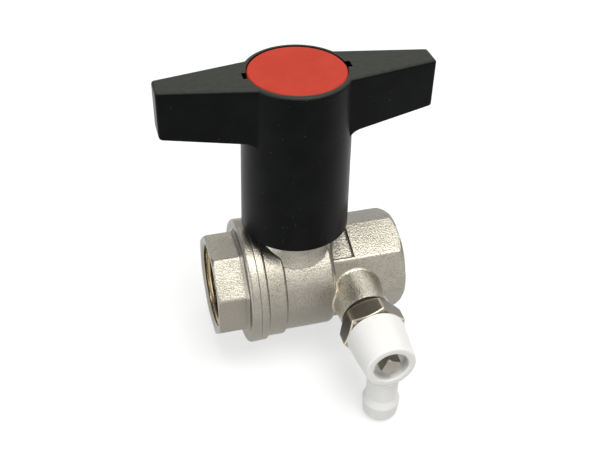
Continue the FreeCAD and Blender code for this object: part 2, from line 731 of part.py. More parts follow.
def handle_piece():
    body = new_body("handle_moulding")
    plan = new_sketch(body, "wing_plan", "XY_Plane", "handle_top")
    middle = wing_half_at("0")
    draw_outline(plan, [
        ("-wing_reach", "-wing_tip_half"), ("0", "-" + middle), ("wing_reach", "-wing_tip_half"),
        ("wing_reach", "wing_tip_half"), ("0", middle), ("-wing_reach", "wing_tip_half"),
    ])
    pad(body, "wings", plan, "wing_root_depth + wing_blend", reverse=True)
    for side in ("", "-"):
        relieve_wing(body, side)
    round_edges(body, "wing_edges", "edge_round", is_wing_edge)
    hub = [
        ("0", "skirt_bottom"),
        ("skirt_radius - 0.4", "skirt_bottom"),
        ("skirt_radius", "skirt_bottom + 0.4"),
        ("hub_waist_radius", "hub_waist_height"),
    ]
    for angle in (0, 22.5, 45, 67.5, 90):
        across = "hub_top_radius - edge_round * ( 1 - cos ( %g ) )" % angle
        hub.append((across, "handle_top - edge_round * ( 1 - sin ( %g ) )" % angle))
    hub.append(("0", "handle_top"))
    turned(body, "hub", hub, "V_Axis")
    hollow_handle(body)
    core_wings(body)
    finish(fuse("handle_shape", [body, stop_collar()]), "handle")


# The collar's open part lets the lug pass through the quarter turn, with a little play at each end.
def stop_collar():
    height = "web_base - neck_top - stop_clearance + 1"
    angle = "360 - stop_lug_angle - quarter_turn - 2 * stop_play"
    start = 135 + number("stop_lug_angle / 2 + quarter_turn + stop_play")
    return ring_sector("stop_collar", "stop_inner_radius", "stop_outer_radius", height,
                       angle, start, "neck_top + stop_clearance")


# Takes away what lies under a wing: a sloping underside and a curve down to the hub.
def relieve_wing(body, side):
    name = "underside_right" if side == "" else "underside_left"
    sketch = new_sketch(body, name + "_outline", "XZ_Plane")
    tip = "handle_top - wing_tip_depth"
    root = "handle_top - wing_root_depth"
    low = "handle_top - wing_root_depth - 2 * wing_blend"
    corners = [
        ("wing_reach + 1", tip + " + edge_round"),
        ("wing_reach", tip + " + edge_round"),
        ("wing_reach - 0.3 * edge_round", tip + " + 0.3 * edge_round"),
        ("wing_reach - edge_round", tip),
    ]
    for angle in (0, 12, 24, 36, 48, 60):
        across = "wing_blend_place - wing_blend * sin ( %g )" % angle
        up = "%s - wing_blend * ( 1 - cos ( %g ) )" % (root, angle)
        corners.append((across, up))
    corners += [("wing_blend_place - wing_blend", low), ("wing_reach + 1", low)]
    draw_outline(sketch, [("%s( %s )" % (side, across), up) for across, up in corners])
    pad(body, name, sketch, "6 * wing_root_half", cut=True, midplane=True)


def is_wing_edge(edge):
    span = edge.BoundBox
    top = number("handle_top")
    reach = number("wing_reach") - 0.01
    at_tip = span.XMin > reach or span.XMax < -reach
    upright_tip = at_tip and span.ZLength > 5
    on_top = span.ZMin > top - 0.01
    return upright_tip or on_top


def hollow_handle(body):
    under = [
        ("0", "skirt_bottom - 1"),
        ("skirt_radius - skirt_wall", "skirt_bottom - 1"),
        ("skirt_radius - skirt_wall - 0.2", "web_base"),
        ("0", "web_base"),
    ]
    turned(body, "skirt_hollow", under, "V_Axis", cut=True)
    ledge = "( handle_top - cap_recess )"
    above = [
        ("0", WEB_TOP),
        ("well_radius", WEB_TOP),
        ("well_radius", ledge),
        ("cap_radius + cap_gap", ledge),
        ("cap_radius + cap_gap", "handle_top + 1"),
        ("0", "handle_top + 1"),
    ]
    turned(body, "screw_well", above, "V_Axis", cut=True)
    socket = new_sketch(body, "socket_outline", "XY_Plane", "web_base - 1")
    side = "( stem_square / 2 + socket_fit )"
    draw_outline(socket, rectangle("-" + side, side, "-" + side, side))
    pad(body, "socket", socket, "web_height + 2", reverse=True, cut=True)
    notches = new_sketch(body, "notch_outline", "XY_Plane", "handle_top - notch_depth")
    near = "( cap_radius - 0.5 )"
    far = "( cap_radius + notch_length )"
    half = "notch_width / 2"
    draw_outline(notches, rectangle(near, far, "-" + half, half))
    draw_outline(notches, rectangle("-" + far, "-" + near, "-" + half, half))
    pad(body, "notches", notches, "notch_depth + 1", reverse=True, cut=True)


# Cored undersides of the wings, as moulded handles have them, with a rib across each.
def core_wings(body):
    sketch = new_sketch(body, "core_outline", "XY_Plane", "handle_top - wing_roof")
    stretches = [
        ("core_start", "rib_place - rib_half"),
        ("rib_place + rib_half", "wing_reach - wing_wall"),
    ]
    for side in ("", "-"):
        for start, end in stretches:
            near = wing_half_at(start) + " - wing_wall"
            far = wing_half_at(end) + " - wing_wall"
            draw_outline(sketch, [
                ("%s( %s )" % (side, start), "-( %s )" % near), ("%s( %s )" % (side, end), "-( %s )" % far),
                ("%s( %s )" % (side, end), far), ("%s( %s )" % (side, start), near),
            ])
    pad(body, "cores", sketch, "2 * wing_root_depth", cut=True)


def handle_fixing():
    cap = new_body("cap_disc")
    ledge = "( handle_top - cap_recess + 0.02 )"
    outer = "( well_radius - stem_fit )"
    inner = "( well_radius - stem_fit - cap_skirt_wall )"
    top = "( handle_top - cap_recess + 0.02 + cap_thickness )"
    corners = [
        ("0", top),
        ("cap_radius - 0.35", top),
        ("cap_radius", top + " - 0.35"),
        ("cap_radius", ledge),
        (outer, ledge),
        (outer, ledge + " - cap_skirt"),
        (inner, ledge + " - cap_skirt"),
        (inner, ledge),
        ("0", ledge),
    ]
    turned(cap, "cap_turning", corners, "V_Axis")
    finish(cap, "handle_cap")

    head_base = "( web_base + web_height + washer_height )"
    washer = sleeve("washer", "screw_radius + 0.2", "washer_radius", WEB_TOP, head_base)
    finish(washer, "handle_washer")

    screw = new_body("screw")
    corners = [
        ("0", STEM_TOP + " - screw_depth + 1"),
        ("screw_radius - 0.5", STEM_TOP + " - screw_depth + 1"),
        ("screw_radius", STEM_TOP + " - screw_depth + 1.5"),
        ("screw_radius", head_base),
        ("head_radius", head_base),
        ("head_radius", head_base + " + head_height - 1.2"),
        ("head_radius - 0.5", head_base + " + head_height - 0.5"),
        ("head_radius - 1.6", head_base + " + head_height"),
        ("0", head_base + " + head_height"),
    ]
    turned(screw, "screw_turning", corners, "V_Axis")
    key = new_sketch(screw, "screw_socket_outline", "XY_Plane", head_base + " + head_height - 2")
    draw_outline(key, polygon_corners(6, "head_socket", "0"))
    pad(screw, "screw_socket", key, "3", reverse=True, cut=True)
    finish(screw, "handle_screw")


def drain_insert():
    body = new_body("insert")
    thread = "( boss_thread_radius - thread_fit )"
    ring_root = "( insert_neck + spout_fit - spout_ring_section - ring_squeeze_gap )"
    ring_half = "( spout_ring_section + 0.6 ) / 2"
    snap_half = "( snap_wire / 2 + 0.05 )"
    outer = [
        ("0", "insert_foot"),
        (thread + " - 0.5", "insert_foot"),
        (thread, "insert_foot + 0.5"),
        (thread, HEXAGON_BASE + " + 1"),
        ("insert_neck", HEXAGON_TOP + " - 1"),
        ("insert_neck", "spout_ring_place - " + ring_half),
        (ring_root, "spout_ring_place - " + ring_half),
        (ring_root, "spout_ring_place + " + ring_half),
        ("insert_neck", "spout_ring_place + " + ring_half),
        ("insert_neck", "snap_place - " + snap_half),
        ("insert_neck - snap_wire / 2", "snap_place - " + snap_half),
        ("insert_neck - snap_wire / 2", "snap_place + " + snap_half),
        ("insert_neck", "snap_place + " + snap_half),
        ("insert_neck", "insert_neck_end - 0.4"),
        ("insert_neck - 0.4", "insert_neck_end"),
        ("0", "insert_neck_end"),
    ]
    turned(body, "insert_turning", outer, "V_Axis")
    flats = new_sketch(body, "hexagon_outline", "XY_Plane", HEXAGON_BASE)
    draw_outline(flats, polygon_corners(6, "hexagon_flats", "hexagon_turn"))
    pad(body, "hexagon", flats, "hexagon_height")
    corner = "( hexagon_flats / 2 / cos ( 30 ) + 1 )"
    start = "( hexagon_flats / 2 - 0.05 )"
    drop = "( ( %s - %s ) * 0.58 )" % (corner, start)
    for name, face, sign in (("lower", HEXAGON_BASE, "+"), ("upper", HEXAGON_TOP, "-")):
        away = "-" if sign == "+" else "+"
        bevel = [
            (start, face),
            (corner, "%s %s %s" % (face, sign, drop)),
            (corner, "%s %s 1" % (face, away)),
            (start, "%s %s 1" % (face, away)),
        ]
        turned(body, "hexagon_bevel_" + name, bevel, "V_Axis", cut=True)
    inner = [
        ("0", "insert_foot - 1"),
        ("insert_cavity", "insert_foot - 1"),
        ("insert_cavity", "cavity_end"),
        ("spindle_radius + spindle_fit", "cavity_end"),
        ("spindle_radius + spindle_fit", "insert_neck_end + 1"),
        ("0", "insert_neck_end + 1"),
    ]
    turned(body, "insert_hollow", inner, "V_Axis", cut=True)
    finish_drain(body, "drain_insert")

    gasket = sleeve("gasket", "boss_thread_radius + 0.02", "gasket_outer", "boss_end", HEXAGON_BASE)
    finish_drain(gasket, "drain_gasket")


def spindle_piece():
    body = new_body("spindle")
    bore = "( holder_pin + spindle_fit )"
    corners = [
        (bore, "spindle_base"),
        ("spindle_shoulder", "spindle_base"),
        ("spindle_shoulder", "spindle_base + shoulder_height"),
        ("spindle_radius", "spindle_base + shoulder_height"),
        ("spindle_radius", "spout_mouth - key_bevel - 0.1"),
        ("spindle_radius - key_bevel", "spout_mouth - 0.1"),
        ("0", "spout_mouth - 0.1"),
        ("0", "spindle_base + holder_pin_length + 0.3"),
        (bore, "spindle_base + holder_pin_length + 0.3"),
    ]
    turned(body, "spindle_turning", corners, "V_Axis")
    key = new_sketch(body, "key_outline", "XY_Plane", "key_base")
    draw_outline(key, polygon_corners(4, "2 * spindle_radius + 4", "key_turn"))
    draw_outline(key, polygon_corners(4, "key_flats", "key_turn"))
    pad(body, "key_end", key, "spout_mouth - key_base", reverse=True, cut=True)
    flow = new_sketch(body, "flow_outline", "XY_Plane", "cavity_end - 3")
    far = "( spindle_radius + 1 )"
    draw_outline(flow, rectangle("-" + far, far, "flow_flat", far))
    draw_outline(flow, rectangle("-" + far, far, "-" + far, "-flow_flat"))
    pad(body, "flow_flats", flow, "insert_neck_end - cavity_end + 4", reverse=True, cut=True)
    finish_drain(body, "drain_spindle")


def drain_seal():
    base = "( boss_floor + lip_height + 0.02 )"
    top = "( boss_floor + lip_height + 0.02 + seal_height )"
    seal = new_body("seal")
    turned(seal, "seal_turning", rectangle("0", "seal_radius", base, top), "V_Axis")
    finish_drain(seal, "drain_seal")
    holder = new_body("holder")
    corners = [
        ("0", top),
        ("seal_radius", top),
        ("seal_radius", top + " + holder_plate"),
        ("holder_pin", top + " + holder_plate"),
        ("holder_pin", "spindle_base + holder_pin_length"),
        ("0", "spindle_base + holder_pin_length"),
    ]
    turned(holder, "holder_turning", corners, "V_Axis")
    finish_drain(holder, "drain_seal_holder")


def spout_piece():
    body = new_body("spout")
    start = "( %s + spout_gap )" % HEXAGON_TOP
    outer = [
        ("0", start),
        ("spout_root_radius - 0.3", start),
        ("spout_root_radius", start + " + 0.3"),
        ("spout_mouth_radius", "spout_mouth"),
        ("0", "spout_mouth"),
    ]
    turned(body, "spout_shell", outer, "V_Axis")
    nozzle(body)
    bore = "( insert_neck + spout_fit )"
    snap = "( insert_neck + snap_wire / 2 + 0.1 )"
    snap_half = "( snap_wire / 2 + 0.05 )"
    spindle = "( spindle_radius + spindle_fit )"
    ring_out = "( spindle_radius + spindle_fit + spindle_ring_section + ring_squeeze_gap )"
    ring_middle = "( bulkhead_base + bulkhead_end ) / 2"
    ring_half = "( spindle_ring_section + 0.2 ) / 2"
    inner = [
        ("0", start + " - 1"),
        (bore + " + 0.4", start + " - 1"),
        (bore + " + 0.4", start),
        (bore, start + " + 0.4"),
        (bore, "snap_place - " + snap_half),
        (snap, "snap_place - " + snap_half),
        (snap, "snap_place + " + snap_half),
        (bore, "snap_place + " + snap_half),
        (bore, "bulkhead_base"),
        (spindle, "bulkhead_base"),
        (spindle, ring_middle + " - " + ring_half),
        (ring_out, ring_middle + " - " + ring_half),
        (ring_out, ring_middle + " + " + ring_half),
        (spindle, ring_middle + " + " + ring_half),
        (spindle, "bulkhead_end"),
        ("mouth_radius", "bulkhead_end"),
        ("mouth_radius", "spout_mouth + 1"),
        ("0", "spout_mouth + 1"),
    ]
    turned(body, "spout_hollow", inner, "V_Axis", cut=True)
    round_edges(body, "mouth_edges", "soft_edge", is_mouth_edge)
    channel = new_sketch(body, "nozzle_bore_outline", "XZ_Plane", "nozzle_bore_top")
    draw_circle(channel, "0", "nozzle_place", "nozzle_bore")
    pad(body, "nozzle_channel", channel, "nozzle_end", reverse=True, cut=True)
    hole = new_sketch(body, "port_hole_outline", "XZ_Plane", "insert_neck - 1")
    draw_circle(hole, "0", "port_hole_place", "port_hole")
    pad(body, "port_channel", hole, "port_hole_drop - insert_neck + 1", reverse=True, cut=True)
    finish_drain(body, "drain_spout")


def is_mouth_edge(edge):
    return edge.BoundBox.ZMin > number("spout_mouth") - 0.01


# Hose nozzle: a tube that points down, with a bead to hold the hose. In the spout's own
# drawing it runs along -Y, so each of its rings is padded or lofted from there.
def nozzle(body):
    stem = new_sketch(body, "nozzle_outline", "XZ_Plane", "1")
    draw_circle(stem, "0", "nozzle_place", "nozzle_radius")
    pad(body, "nozzle_tube", stem, "nozzle_end - 2")
    levels = [
        ("slope_top", "bead_top - bead_slope", "nozzle_radius"),
        ("slope_end", "bead_top", "bead_radius"),
        ("nose_start", "nozzle_end - bead_nose", "bead_radius"),
        ("nose_end", "nozzle_end", "bead_radius - bead_nose / 2"),
    ]
    rings = []
    for name, height, radius in levels:
        ring = new_sketch(body, name + "_outline", "XZ_Plane", height)
        draw_circle(ring, "0", "nozzle_place", radius)
        rings.append(ring)
    bead = body.newObject("PartDesign::AdditiveLoft", "bead")
    bead.Profile = rings[0]
    bead.Sections = rings[1:]
    bead.Ruled = True
    body.Tip = bead


def spout_rings():
    middle = "insert_neck + spout_fit - ring_squeeze_gap - spout_ring_section / 2"
    section = "spout_ring_section - 2 * ring_squeeze_gap"
    lay_ring("spout_ring", middle, section, "spout_ring_place", "spout_o_ring")
    middle = "spindle_radius + spindle_fit + ring_squeeze_gap + spindle_ring_section / 2"
    section = "spindle_ring_section - 2 * ring_squeeze_gap"
    lay_ring("spindle_ring", middle, section, "( bulkhead_base + bulkhead_end ) / 2", "spindle_o_ring")
    lay_ring("snap_ring", "insert_neck + 0.05", "snap_wire", "snap_place", "spout_snap_ring")


def lay_ring(name, middle, section, height, label):
    ring = o_ring(name, middle, section, height)
    laid = doc.addObject("Part::Compound", name + "_laid")
    laid.Links = [ring]
    finish_drain(laid, label)


def check_and_write():
    doc.recompute()
    for thing in doc.Objects:
        if "Invalid" in thing.State or "Error" in thing.State:
            raise SystemExit("failed: %s %s" % (thing.Name, thing.State))
    for piece in nodes:
        shape = piece.Shape
        if shape.isNull() or not shape.isValid():
            raise SystemExit("bad shape: " + piece.Label)
    for piece in nodes:
        piece.Shape.exportStep("parts/%s.step" % piece.Label)
        print("%-20s solids %d volume %.2f" % (piece.Label, len(piece.Shape.Solids), piece.Shape.Volume))


valve_body()
end_connector()
ball_piece()
ball_seat("ball_seat_a", -1)
ball_seat("ball_seat_b", 1)
stem_piece()
stem_seals()
handle_piece()
handle_fixing()
drain_insert()
spindle_piece()
drain_seal()
spout_piece()
spout_rings()
check_and_write()
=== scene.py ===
import bpy
import numpy as np
from mathutils import Matrix, Vector


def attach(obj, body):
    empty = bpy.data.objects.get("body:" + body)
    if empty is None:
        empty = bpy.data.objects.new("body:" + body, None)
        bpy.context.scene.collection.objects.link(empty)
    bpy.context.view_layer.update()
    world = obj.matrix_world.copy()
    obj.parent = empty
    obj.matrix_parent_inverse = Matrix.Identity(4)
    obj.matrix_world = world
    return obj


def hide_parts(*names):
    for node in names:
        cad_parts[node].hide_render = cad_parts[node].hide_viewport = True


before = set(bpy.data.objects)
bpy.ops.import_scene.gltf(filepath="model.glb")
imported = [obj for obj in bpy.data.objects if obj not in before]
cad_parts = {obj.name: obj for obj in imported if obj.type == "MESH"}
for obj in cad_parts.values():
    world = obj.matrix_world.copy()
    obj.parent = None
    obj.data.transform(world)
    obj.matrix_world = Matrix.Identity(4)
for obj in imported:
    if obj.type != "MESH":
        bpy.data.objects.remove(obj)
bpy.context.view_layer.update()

# Drain ball valve. Lengths in the dictionaries are in millimetres and angles in degrees, where no
# note says otherwise; the mesh, the floor, the lamps and the camera are in metres. Along the pipe,
# x counts from the ball's centre; along the drain, u counts from the pipe's axis; down the nozzle,
# d counts from the drain's axis.
toMetres = 0.001
ballX = 27.6
drainX = 44.1
nozzleU = 42.5
turn = 2 * np.pi
arcSteps = 5  # pieces of a rounded corner in a profile
longestArc = 0.49  # share of the shorter side that a rounding may take
halvings = 36  # steps of each bisection

# Marks that a surface carries for its finish: what was done to the metal there, except bright,
# which is painted light.
zone = {"bright": -0.8, "cast": 0.0, "turned": 1.0, "thread": 2.0}


# Places of a grid given by a distance along an axis, a radius r and an angle a about it.
# pipe: (x, -r cos a, r sin a); stem: (r cos a, r sin a, z); drain: (r cos a, -u, r sin a);
# nozzle, which points down from the drain's axis: (r cos a, -u - r sin a, -d)
def places(kind, along, radius, angle):
    along, radius, angle = np.broadcast_arrays(along, radius, angle)
    across = radius * np.cos(angle)
    side = radius * np.sin(angle)
    if kind == "pipe":
        parts = (ballX + along, -across, side)
    elif kind == "stem":
        parts = (ballX + across, side, along)
    elif kind == "drain":
        parts = (drainX + across, -along, side)
    else:
        parts = (drainX + across, -nozzleU - side, -along)
    return np.stack(parts, axis=-1)


def angles(count):  # even steps round one turn
    return np.arange(count) * turn / count


# Volume = sum of a . (b x c) / 6 over the triangles of the quads.
def signedVolume(points, quads):
    a, b, c, d = (points[quads[:, k]] for k in range(4))
    near = np.einsum("ij,ij->i", a, np.cross(b, c))
    far = np.einsum("ij,ij->i", a, np.cross(c, d))
    return (near + far).sum() / 6


# Joins rows (along, radius, mark) into a closed shell: the columns run round the axis, and the last
# row meets the first again. A shell whose volume comes out negative gets its faces turned round.
def shell(name, kind, rows, around, body, node, finish, sharp=32):
    along, radius, marks = (
        np.array([np.broadcast_to(row[k], around.shape) for row in rows]) for k in range(3)
    )
    points = places(kind, along, radius, around).reshape(-1, 3)
    index = np.arange(len(points)).reshape(marks.shape)
    beside = np.roll(index, -1, axis=1)
    above = np.roll(index, -1, axis=0)
    corners = [index, beside, np.roll(beside, -1, axis=0), above]
    quads = np.stack(corners, axis=-1).reshape(-1, 4)
    if signedVolume(points, quads) < 0:
        quads = quads[:, ::-1]
    mesh = bpy.data.meshes.new(name)
    mesh.from_pydata((points * toMetres).tolist(), [], quads.tolist())
    layer = mesh.attributes.new("turned", "FLOAT", "POINT")
    layer.data.foreach_set("value", marks.astype(float).ravel())
    mesh.update()
    mesh.shade_smooth()
    mesh.set_sharp_from_angle(angle=np.radians(sharp))
    mesh.materials.append(finishes[finish])
    piece = bpy.data.objects.new(name, mesh)
    bpy.context.scene.collection.objects.link(piece)
    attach(piece, body)
    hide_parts(node)


# Rows of a profile given by its corners (along, radius, rounding, mark). Each corner is rounded by
# the quadratic curve (1 - t)^2 start + 2 t (1 - t) corner + t^2 end.
def lineRows(corners, closed=False):
    spots = np.array([corner[:2] for corner in corners], float)
    count = len(corners)
    t = np.linspace(0, 1, arcSteps + 1)[:, None]
    rows = []
    for k, corner in enumerate(corners):
        here = spots[k]
        before = spots[k - 1] - here
        after = spots[(k + 1) % count] - here
        lengths = np.linalg.norm(before), np.linalg.norm(after)
        ended = not closed and k in (0, count - 1)
        mark = corner[3] if len(corner) > 3 else zone["cast"]
        if ended or corner[2] == 0 or min(lengths) == 0:
            rows.append((*here, mark))
            continue
        before = before / lengths[0]
        after = after / lengths[1]
        half = np.arccos(np.clip(before @ after, -1, 1)) / 2
        reach = min(corner[2] / np.tan(half), longestArc * min(lengths))
        start = here + before * reach
        end = here + after * reach
        arc = (1 - t) ** 2 * start + 2 * t * (1 - t) * here + t ** 2 * end
        rows += [(*spot, mark) for spot in arc]
    return rows


# Distance from the centre to a polygon with rounded corners: h / cos a on the flats, and on a
# corner the far side of a circle of radius s whose centre lies (h - s) / cos(half a side's angle)
# from the middle.
def polygonRadius(angle, sides, half, cornerAt, soft):
    step = turn / sides
    a = np.abs((angle - np.radians(cornerAt)) % step - step / 2)
    flat = half / np.cos(a)
    centre = (half - soft) / np.cos(step / 2)
    b = step / 2 - a
    arc = centre * np.cos(b) + np.sqrt(np.maximum(soft ** 2 - (centre * np.sin(b)) ** 2, 0))
    return np.where(a > np.arctan((half - soft) * np.tan(step / 2) / half), arc, flat)


# Rounded lesser of two values: (a + b - sqrt((a - b)^2 + k^2)) / 2.
def softMin(a, b, k):
    return (a + b - np.sqrt((a - b) ** 2 + k ** 2)) / 2


# From 0 at low to 1 at high: t^2 (3 - 2 t), with t the share of the way.
def smoothStep(low, high, value):
    t = np.clip((value - low) / (high - low), 0, 1)
    return t * t * (3 - 2 * t)


# One socket of a shader tree; the operators add Math nodes.
class Wire:
    def __init__(self, tree, socket):
        self.tree = tree
        self.socket = socket

    def node(self, kind, settings=None, inputs=None, out=0):
        made = self.tree.nodes.new(kind)
        for key, value in (settings or {}).items():
            setattr(made, key, value)
        for key, value in (inputs or {}).items():
            if isinstance(value, Wire):
                self.tree.links.new(value.socket, made.inputs[key])
            else:
                made.inputs[key].default_value = value
        return Wire(self.tree, made.outputs[out])

    def maths(self, operation, *values):
        return self.node("ShaderNodeMath", {"operation": operation}, dict(enumerate(values)))

    def __add__(self, other):
        return self.maths("ADD", self, other)

    def __radd__(self, other):
        return self.maths("ADD", other, self)

    def __sub__(self, other):
        return self.maths("SUBTRACT", self, other)

    def __rsub__(self, other):
        return self.maths("SUBTRACT", other, self)

    def __mul__(self, other):
        return self.maths("MULTIPLY", self, other)

    def __rmul__(self, other):
        return self.maths("MULTIPLY", other, self)

    def ramp(self, low, high):  # 0 below low, 1 above high, smooth between
        limits = {"Value": self, "From Min": low, "From Max": high}
        return self.node("ShaderNodeMapRange", {"interpolation_type": "SMOOTHSTEP"}, limits)


# A material with one Principled shader; its values come as numbers, colours or wires.
class Finish:
    def __init__(self, name):
        self.material = bpy.data.materials.new(name)
        self.material.use_nodes = True
        self.tree = self.material.node_tree
        self.shader = self.tree.nodes["Principled BSDF"]
        self.any = Wire(self.tree, None)
        self.spot = self.any.node("ShaderNodeTexCoord", out="Object")

    def noise(self, size, detail=2.0, roughness=0.5):  # size of one lump in millimetres
        inputs = {
            "Vector": self.spot, "Scale": 1000 / size, "Detail": detail, "Roughness": roughness,
        }
        return self.any.node("ShaderNodeTexNoise", None, inputs, "Fac")

    def cells(self, size):  # distance to the nearest of points this many millimetres apart
        inputs = {"Vector": self.spot, "Scale": 1000 / size}
        return self.any.node("ShaderNodeTexVoronoi", {"feature": "F1"}, inputs, "Distance")

    def mark(self):  # the zone's mark that the mesh carries
        return self.any.node("ShaderNodeAttribute", {"attribute_name": "turned"}, None, "Fac")

    def upward(self):  # z of the face's own normal
        normal = self.any.node("ShaderNodeTexCoord", out="Normal")
        return self.any.node("ShaderNodeSeparateXYZ", None, {"Vector": normal}, "Z")

    def mix(self, factor, first, second):  # colours: sockets 6 and 7 in, socket 2 out
        made = self.any.node("ShaderNodeMix", {"data_type": "RGBA"}, None, 2)
        sockets = made.socket.node.inputs
        for key, value in ((0, factor), (6, first), (7, second)):
            if isinstance(value, Wire):
                self.tree.links.new(value.socket, sockets[key])
            else:
                sockets[key].default_value = value if key == 0 else (*value, 1)
        return made

    def bump(self, height, strength=1.0, depth=1.0):  # depth in millimetres
        inputs = {"Height": height, "Strength": strength, "Distance": depth * toMetres}
        return self.any.node("ShaderNodeBump", None, inputs)

    def put(self, **values):
        for key, value in values.items():
            socket = self.shader.inputs[key.replace("_", " ")]
            if isinstance(value, Wire):
                self.tree.links.new(value.socket, socket)
            else:
                socket.default_value = (*value, 1) if isinstance(value, tuple) else value
        return self.material


# In this look the colour for downward faces is painted shade.
forgedLook = {
    "nickel": (0.48, 0.456, 0.398), "shade": (0.42, 0.397, 0.34), "cloud": 6.0,
    "cloudRange": (0.35, 0.68), "below": (0.28, 0.262, 0.224), "belowRange": (-0.1, 0.6),
    # the bright colour is painted light, for marks under 0
    "bright": (0.76, 0.715, 0.61), "pit": (0.22, 0.2, 0.155), "pitRange": (0.32, 0.5),
    "pitShare": 0.6, "turnedNickel": (0.31, 0.295, 0.255), "turnedShare": 0.8, "turnedFlat": 0.85,
    "bare": (0.36, 0.3, 0.175), "bareRange": (1.1, 1.9),
    "grain": 0.42, "grainDepth": 0.125, "dimple": 1.3, "dimpleDepth": 0.03,
    "roughness": 0.37, "turnedRoughness": 0.34, "threadRoughness": 0.2,
    "grainRoughness": 0.2, "cloudRoughness": 0.08,
}


# Shot-blasted forging under nickel: height = fine noise + coarser noise, less where it was turned;
# roughness = blasted + fine and cloudy noise, lower where it was turned and in the thread; colour =
# two nickels mixed by a cloudy noise, with painted shade as the face turns downward, by z of its
# normal, painted light where the mark is under 0, darker in the pits of the fine noise, and brass
# where the mark is over 1.
def forgedNickel():
    look = forgedLook
    f = Finish("forgedNickel")
    mark = f.mark()
    turned = mark.ramp(0.0, 1.0)
    cast = 1 - look["turnedFlat"] * turned
    fine = f.noise(look["grain"], 1.0)
    dimples = f.noise(look["dimple"])
    height = (fine * look["grainDepth"] + dimples * look["dimpleDepth"]) * cast
    cloud = f.noise(look["cloud"], 4.0, 0.6)
    plated = f.mix(cloud.ramp(*look["cloudRange"]), look["nickel"], look["shade"])
    # painted shade: the nickel darkens as the face turns downward
    plated = f.mix(1 - f.upward().ramp(*look["belowRange"]), plated, look["below"])
    # painted light: brighter where the mark is under 0, on the drain boss
    plated = f.mix((mark * -1).ramp(0, 1), plated, look["bright"])
    pits = (1 - fine.ramp(*look["pitRange"])) * cast * look["pitShare"]
    pitted = f.mix(pits, plated, look["pit"])
    smooth = f.mix(turned * look["turnedShare"], pitted, look["turnedNickel"])
    threaded = mark.ramp(*look["bareRange"])
    colour = f.mix(threaded, smooth, look["bare"])
    rough = look["roughness"] + look["grainRoughness"] * (fine - 0.5) * cast
    rough = rough + look["cloudRoughness"] * (cloud - 0.5)
    rough = rough - (look["roughness"] - look["turnedRoughness"]) * turned
    rough = rough - (look["turnedRoughness"] - look["threadRoughness"]) * threaded
    return f.put(Base_Color=colour, Metallic=1.0, Roughness=rough, Normal=f.bump(height))


# In this look the colour for downward faces is painted shade, and the edge colour is wear and a
# painted highlight.
brightLook = {
    "nickel": (0.5, 0.46, 0.36), "warm": (0.4, 0.34, 0.23), "cloud": 4.0,
    "cloudRange": (0.42, 0.72), "below": (0.11, 0.1, 0.082), "belowRange": (0.66, 0.96),
    "edge": (0.85, 0.78, 0.6), "edgeShare": 0.85, "scratch": 0.35, "scratchDepth": 0.004,
    "roughness": 0.24, "cloudRoughness": 0.14, "scratchRoughness": 0.05,
}


# Milled and turned nickel: roughness = smooth + cloudy noise + fine noise; height = fine noise;
# colour goes towards the warmer shade where the cloud is dense, with painted shade as the face
# turns downward, by z of its normal, and towards the edge's colour by the mark: wear and a painted
# highlight.
def brightNickel():
    look = brightLook
    f = Finish("brightNickel")
    cloud = f.noise(look["cloud"], 4.0, 0.6)
    fine = f.noise(look["scratch"], 3.0)
    colour = f.mix(cloud.ramp(*look["cloudRange"]), look["nickel"], look["warm"])
    # painted shade: darker as the face turns downward
    colour = f.mix(1 - f.upward().ramp(*look["belowRange"]), colour, look["below"])
    # wear and a painted highlight on the edges, by the mark
    colour = f.mix(f.mark() * look["edgeShare"], colour, look["edge"])
    rough = look["roughness"] + look["cloudRoughness"] * cloud + look["scratchRoughness"] * fine
    normal = f.bump(fine * look["scratchDepth"])
    return f.put(Base_Color=colour, Metallic=1.0, Roughness=rough, Normal=normal)


metalLook = {
    "cloud": 4.0, "cloudRange": (0.3, 0.8), "shade": 0.8, "cloudRoughness": 0.15, "bump": 0.6,
    "depth": 0.02,
}


# Plain metals: colour = the metal and a darker shade of it mixed by a cloudy noise; roughness =
# base + that noise; height = noise of the grain's size.
def plainMetal(name, colour, roughness, grain):
    look = metalLook
    f = Finish(name)
    cloud = f.noise(look["cloud"], 3.0)
    shade = tuple(look["shade"] * part for part in colour)
    mixed = f.mix(cloud.ramp(*look["cloudRange"]), colour, shade)
    rough = roughness + look["cloudRoughness"] * cloud
    normal = f.bump(f.noise(grain, 3.0), look["bump"], look["depth"])
    return f.put(Base_Color=mixed, Metallic=1.0, Roughness=rough, Normal=normal)


# In this look the colour for upward faces is dust and painted light.
blackLook = {
    "black": (0.0008, 0.0011, 0.0016), "faded": (0.0028, 0.0032, 0.0034), "cloud": 7.0,
    "cloudRange": (0.35, 0.7), "dustAndPaintedLight": (0.037, 0.0395, 0.034), "dustAndPaintedLightRange": (0.25, 0.95),
    "dust": 1.6, "dustEven": 0.6, "dustNoise": 0.6, "speck": (0.2, 0.2, 0.17), "speckSize": 1.5,
    "speckRange": (0.051, 0.085), "speckShare": 0.55, "speckField": 2.7, "fieldRange": (0.5, 0.6),
    "grain": 0.4, "grainDepth": 0.012, "roughness": 0.28, "cloudRoughness": 0.12, "gloss": 0.075,
}


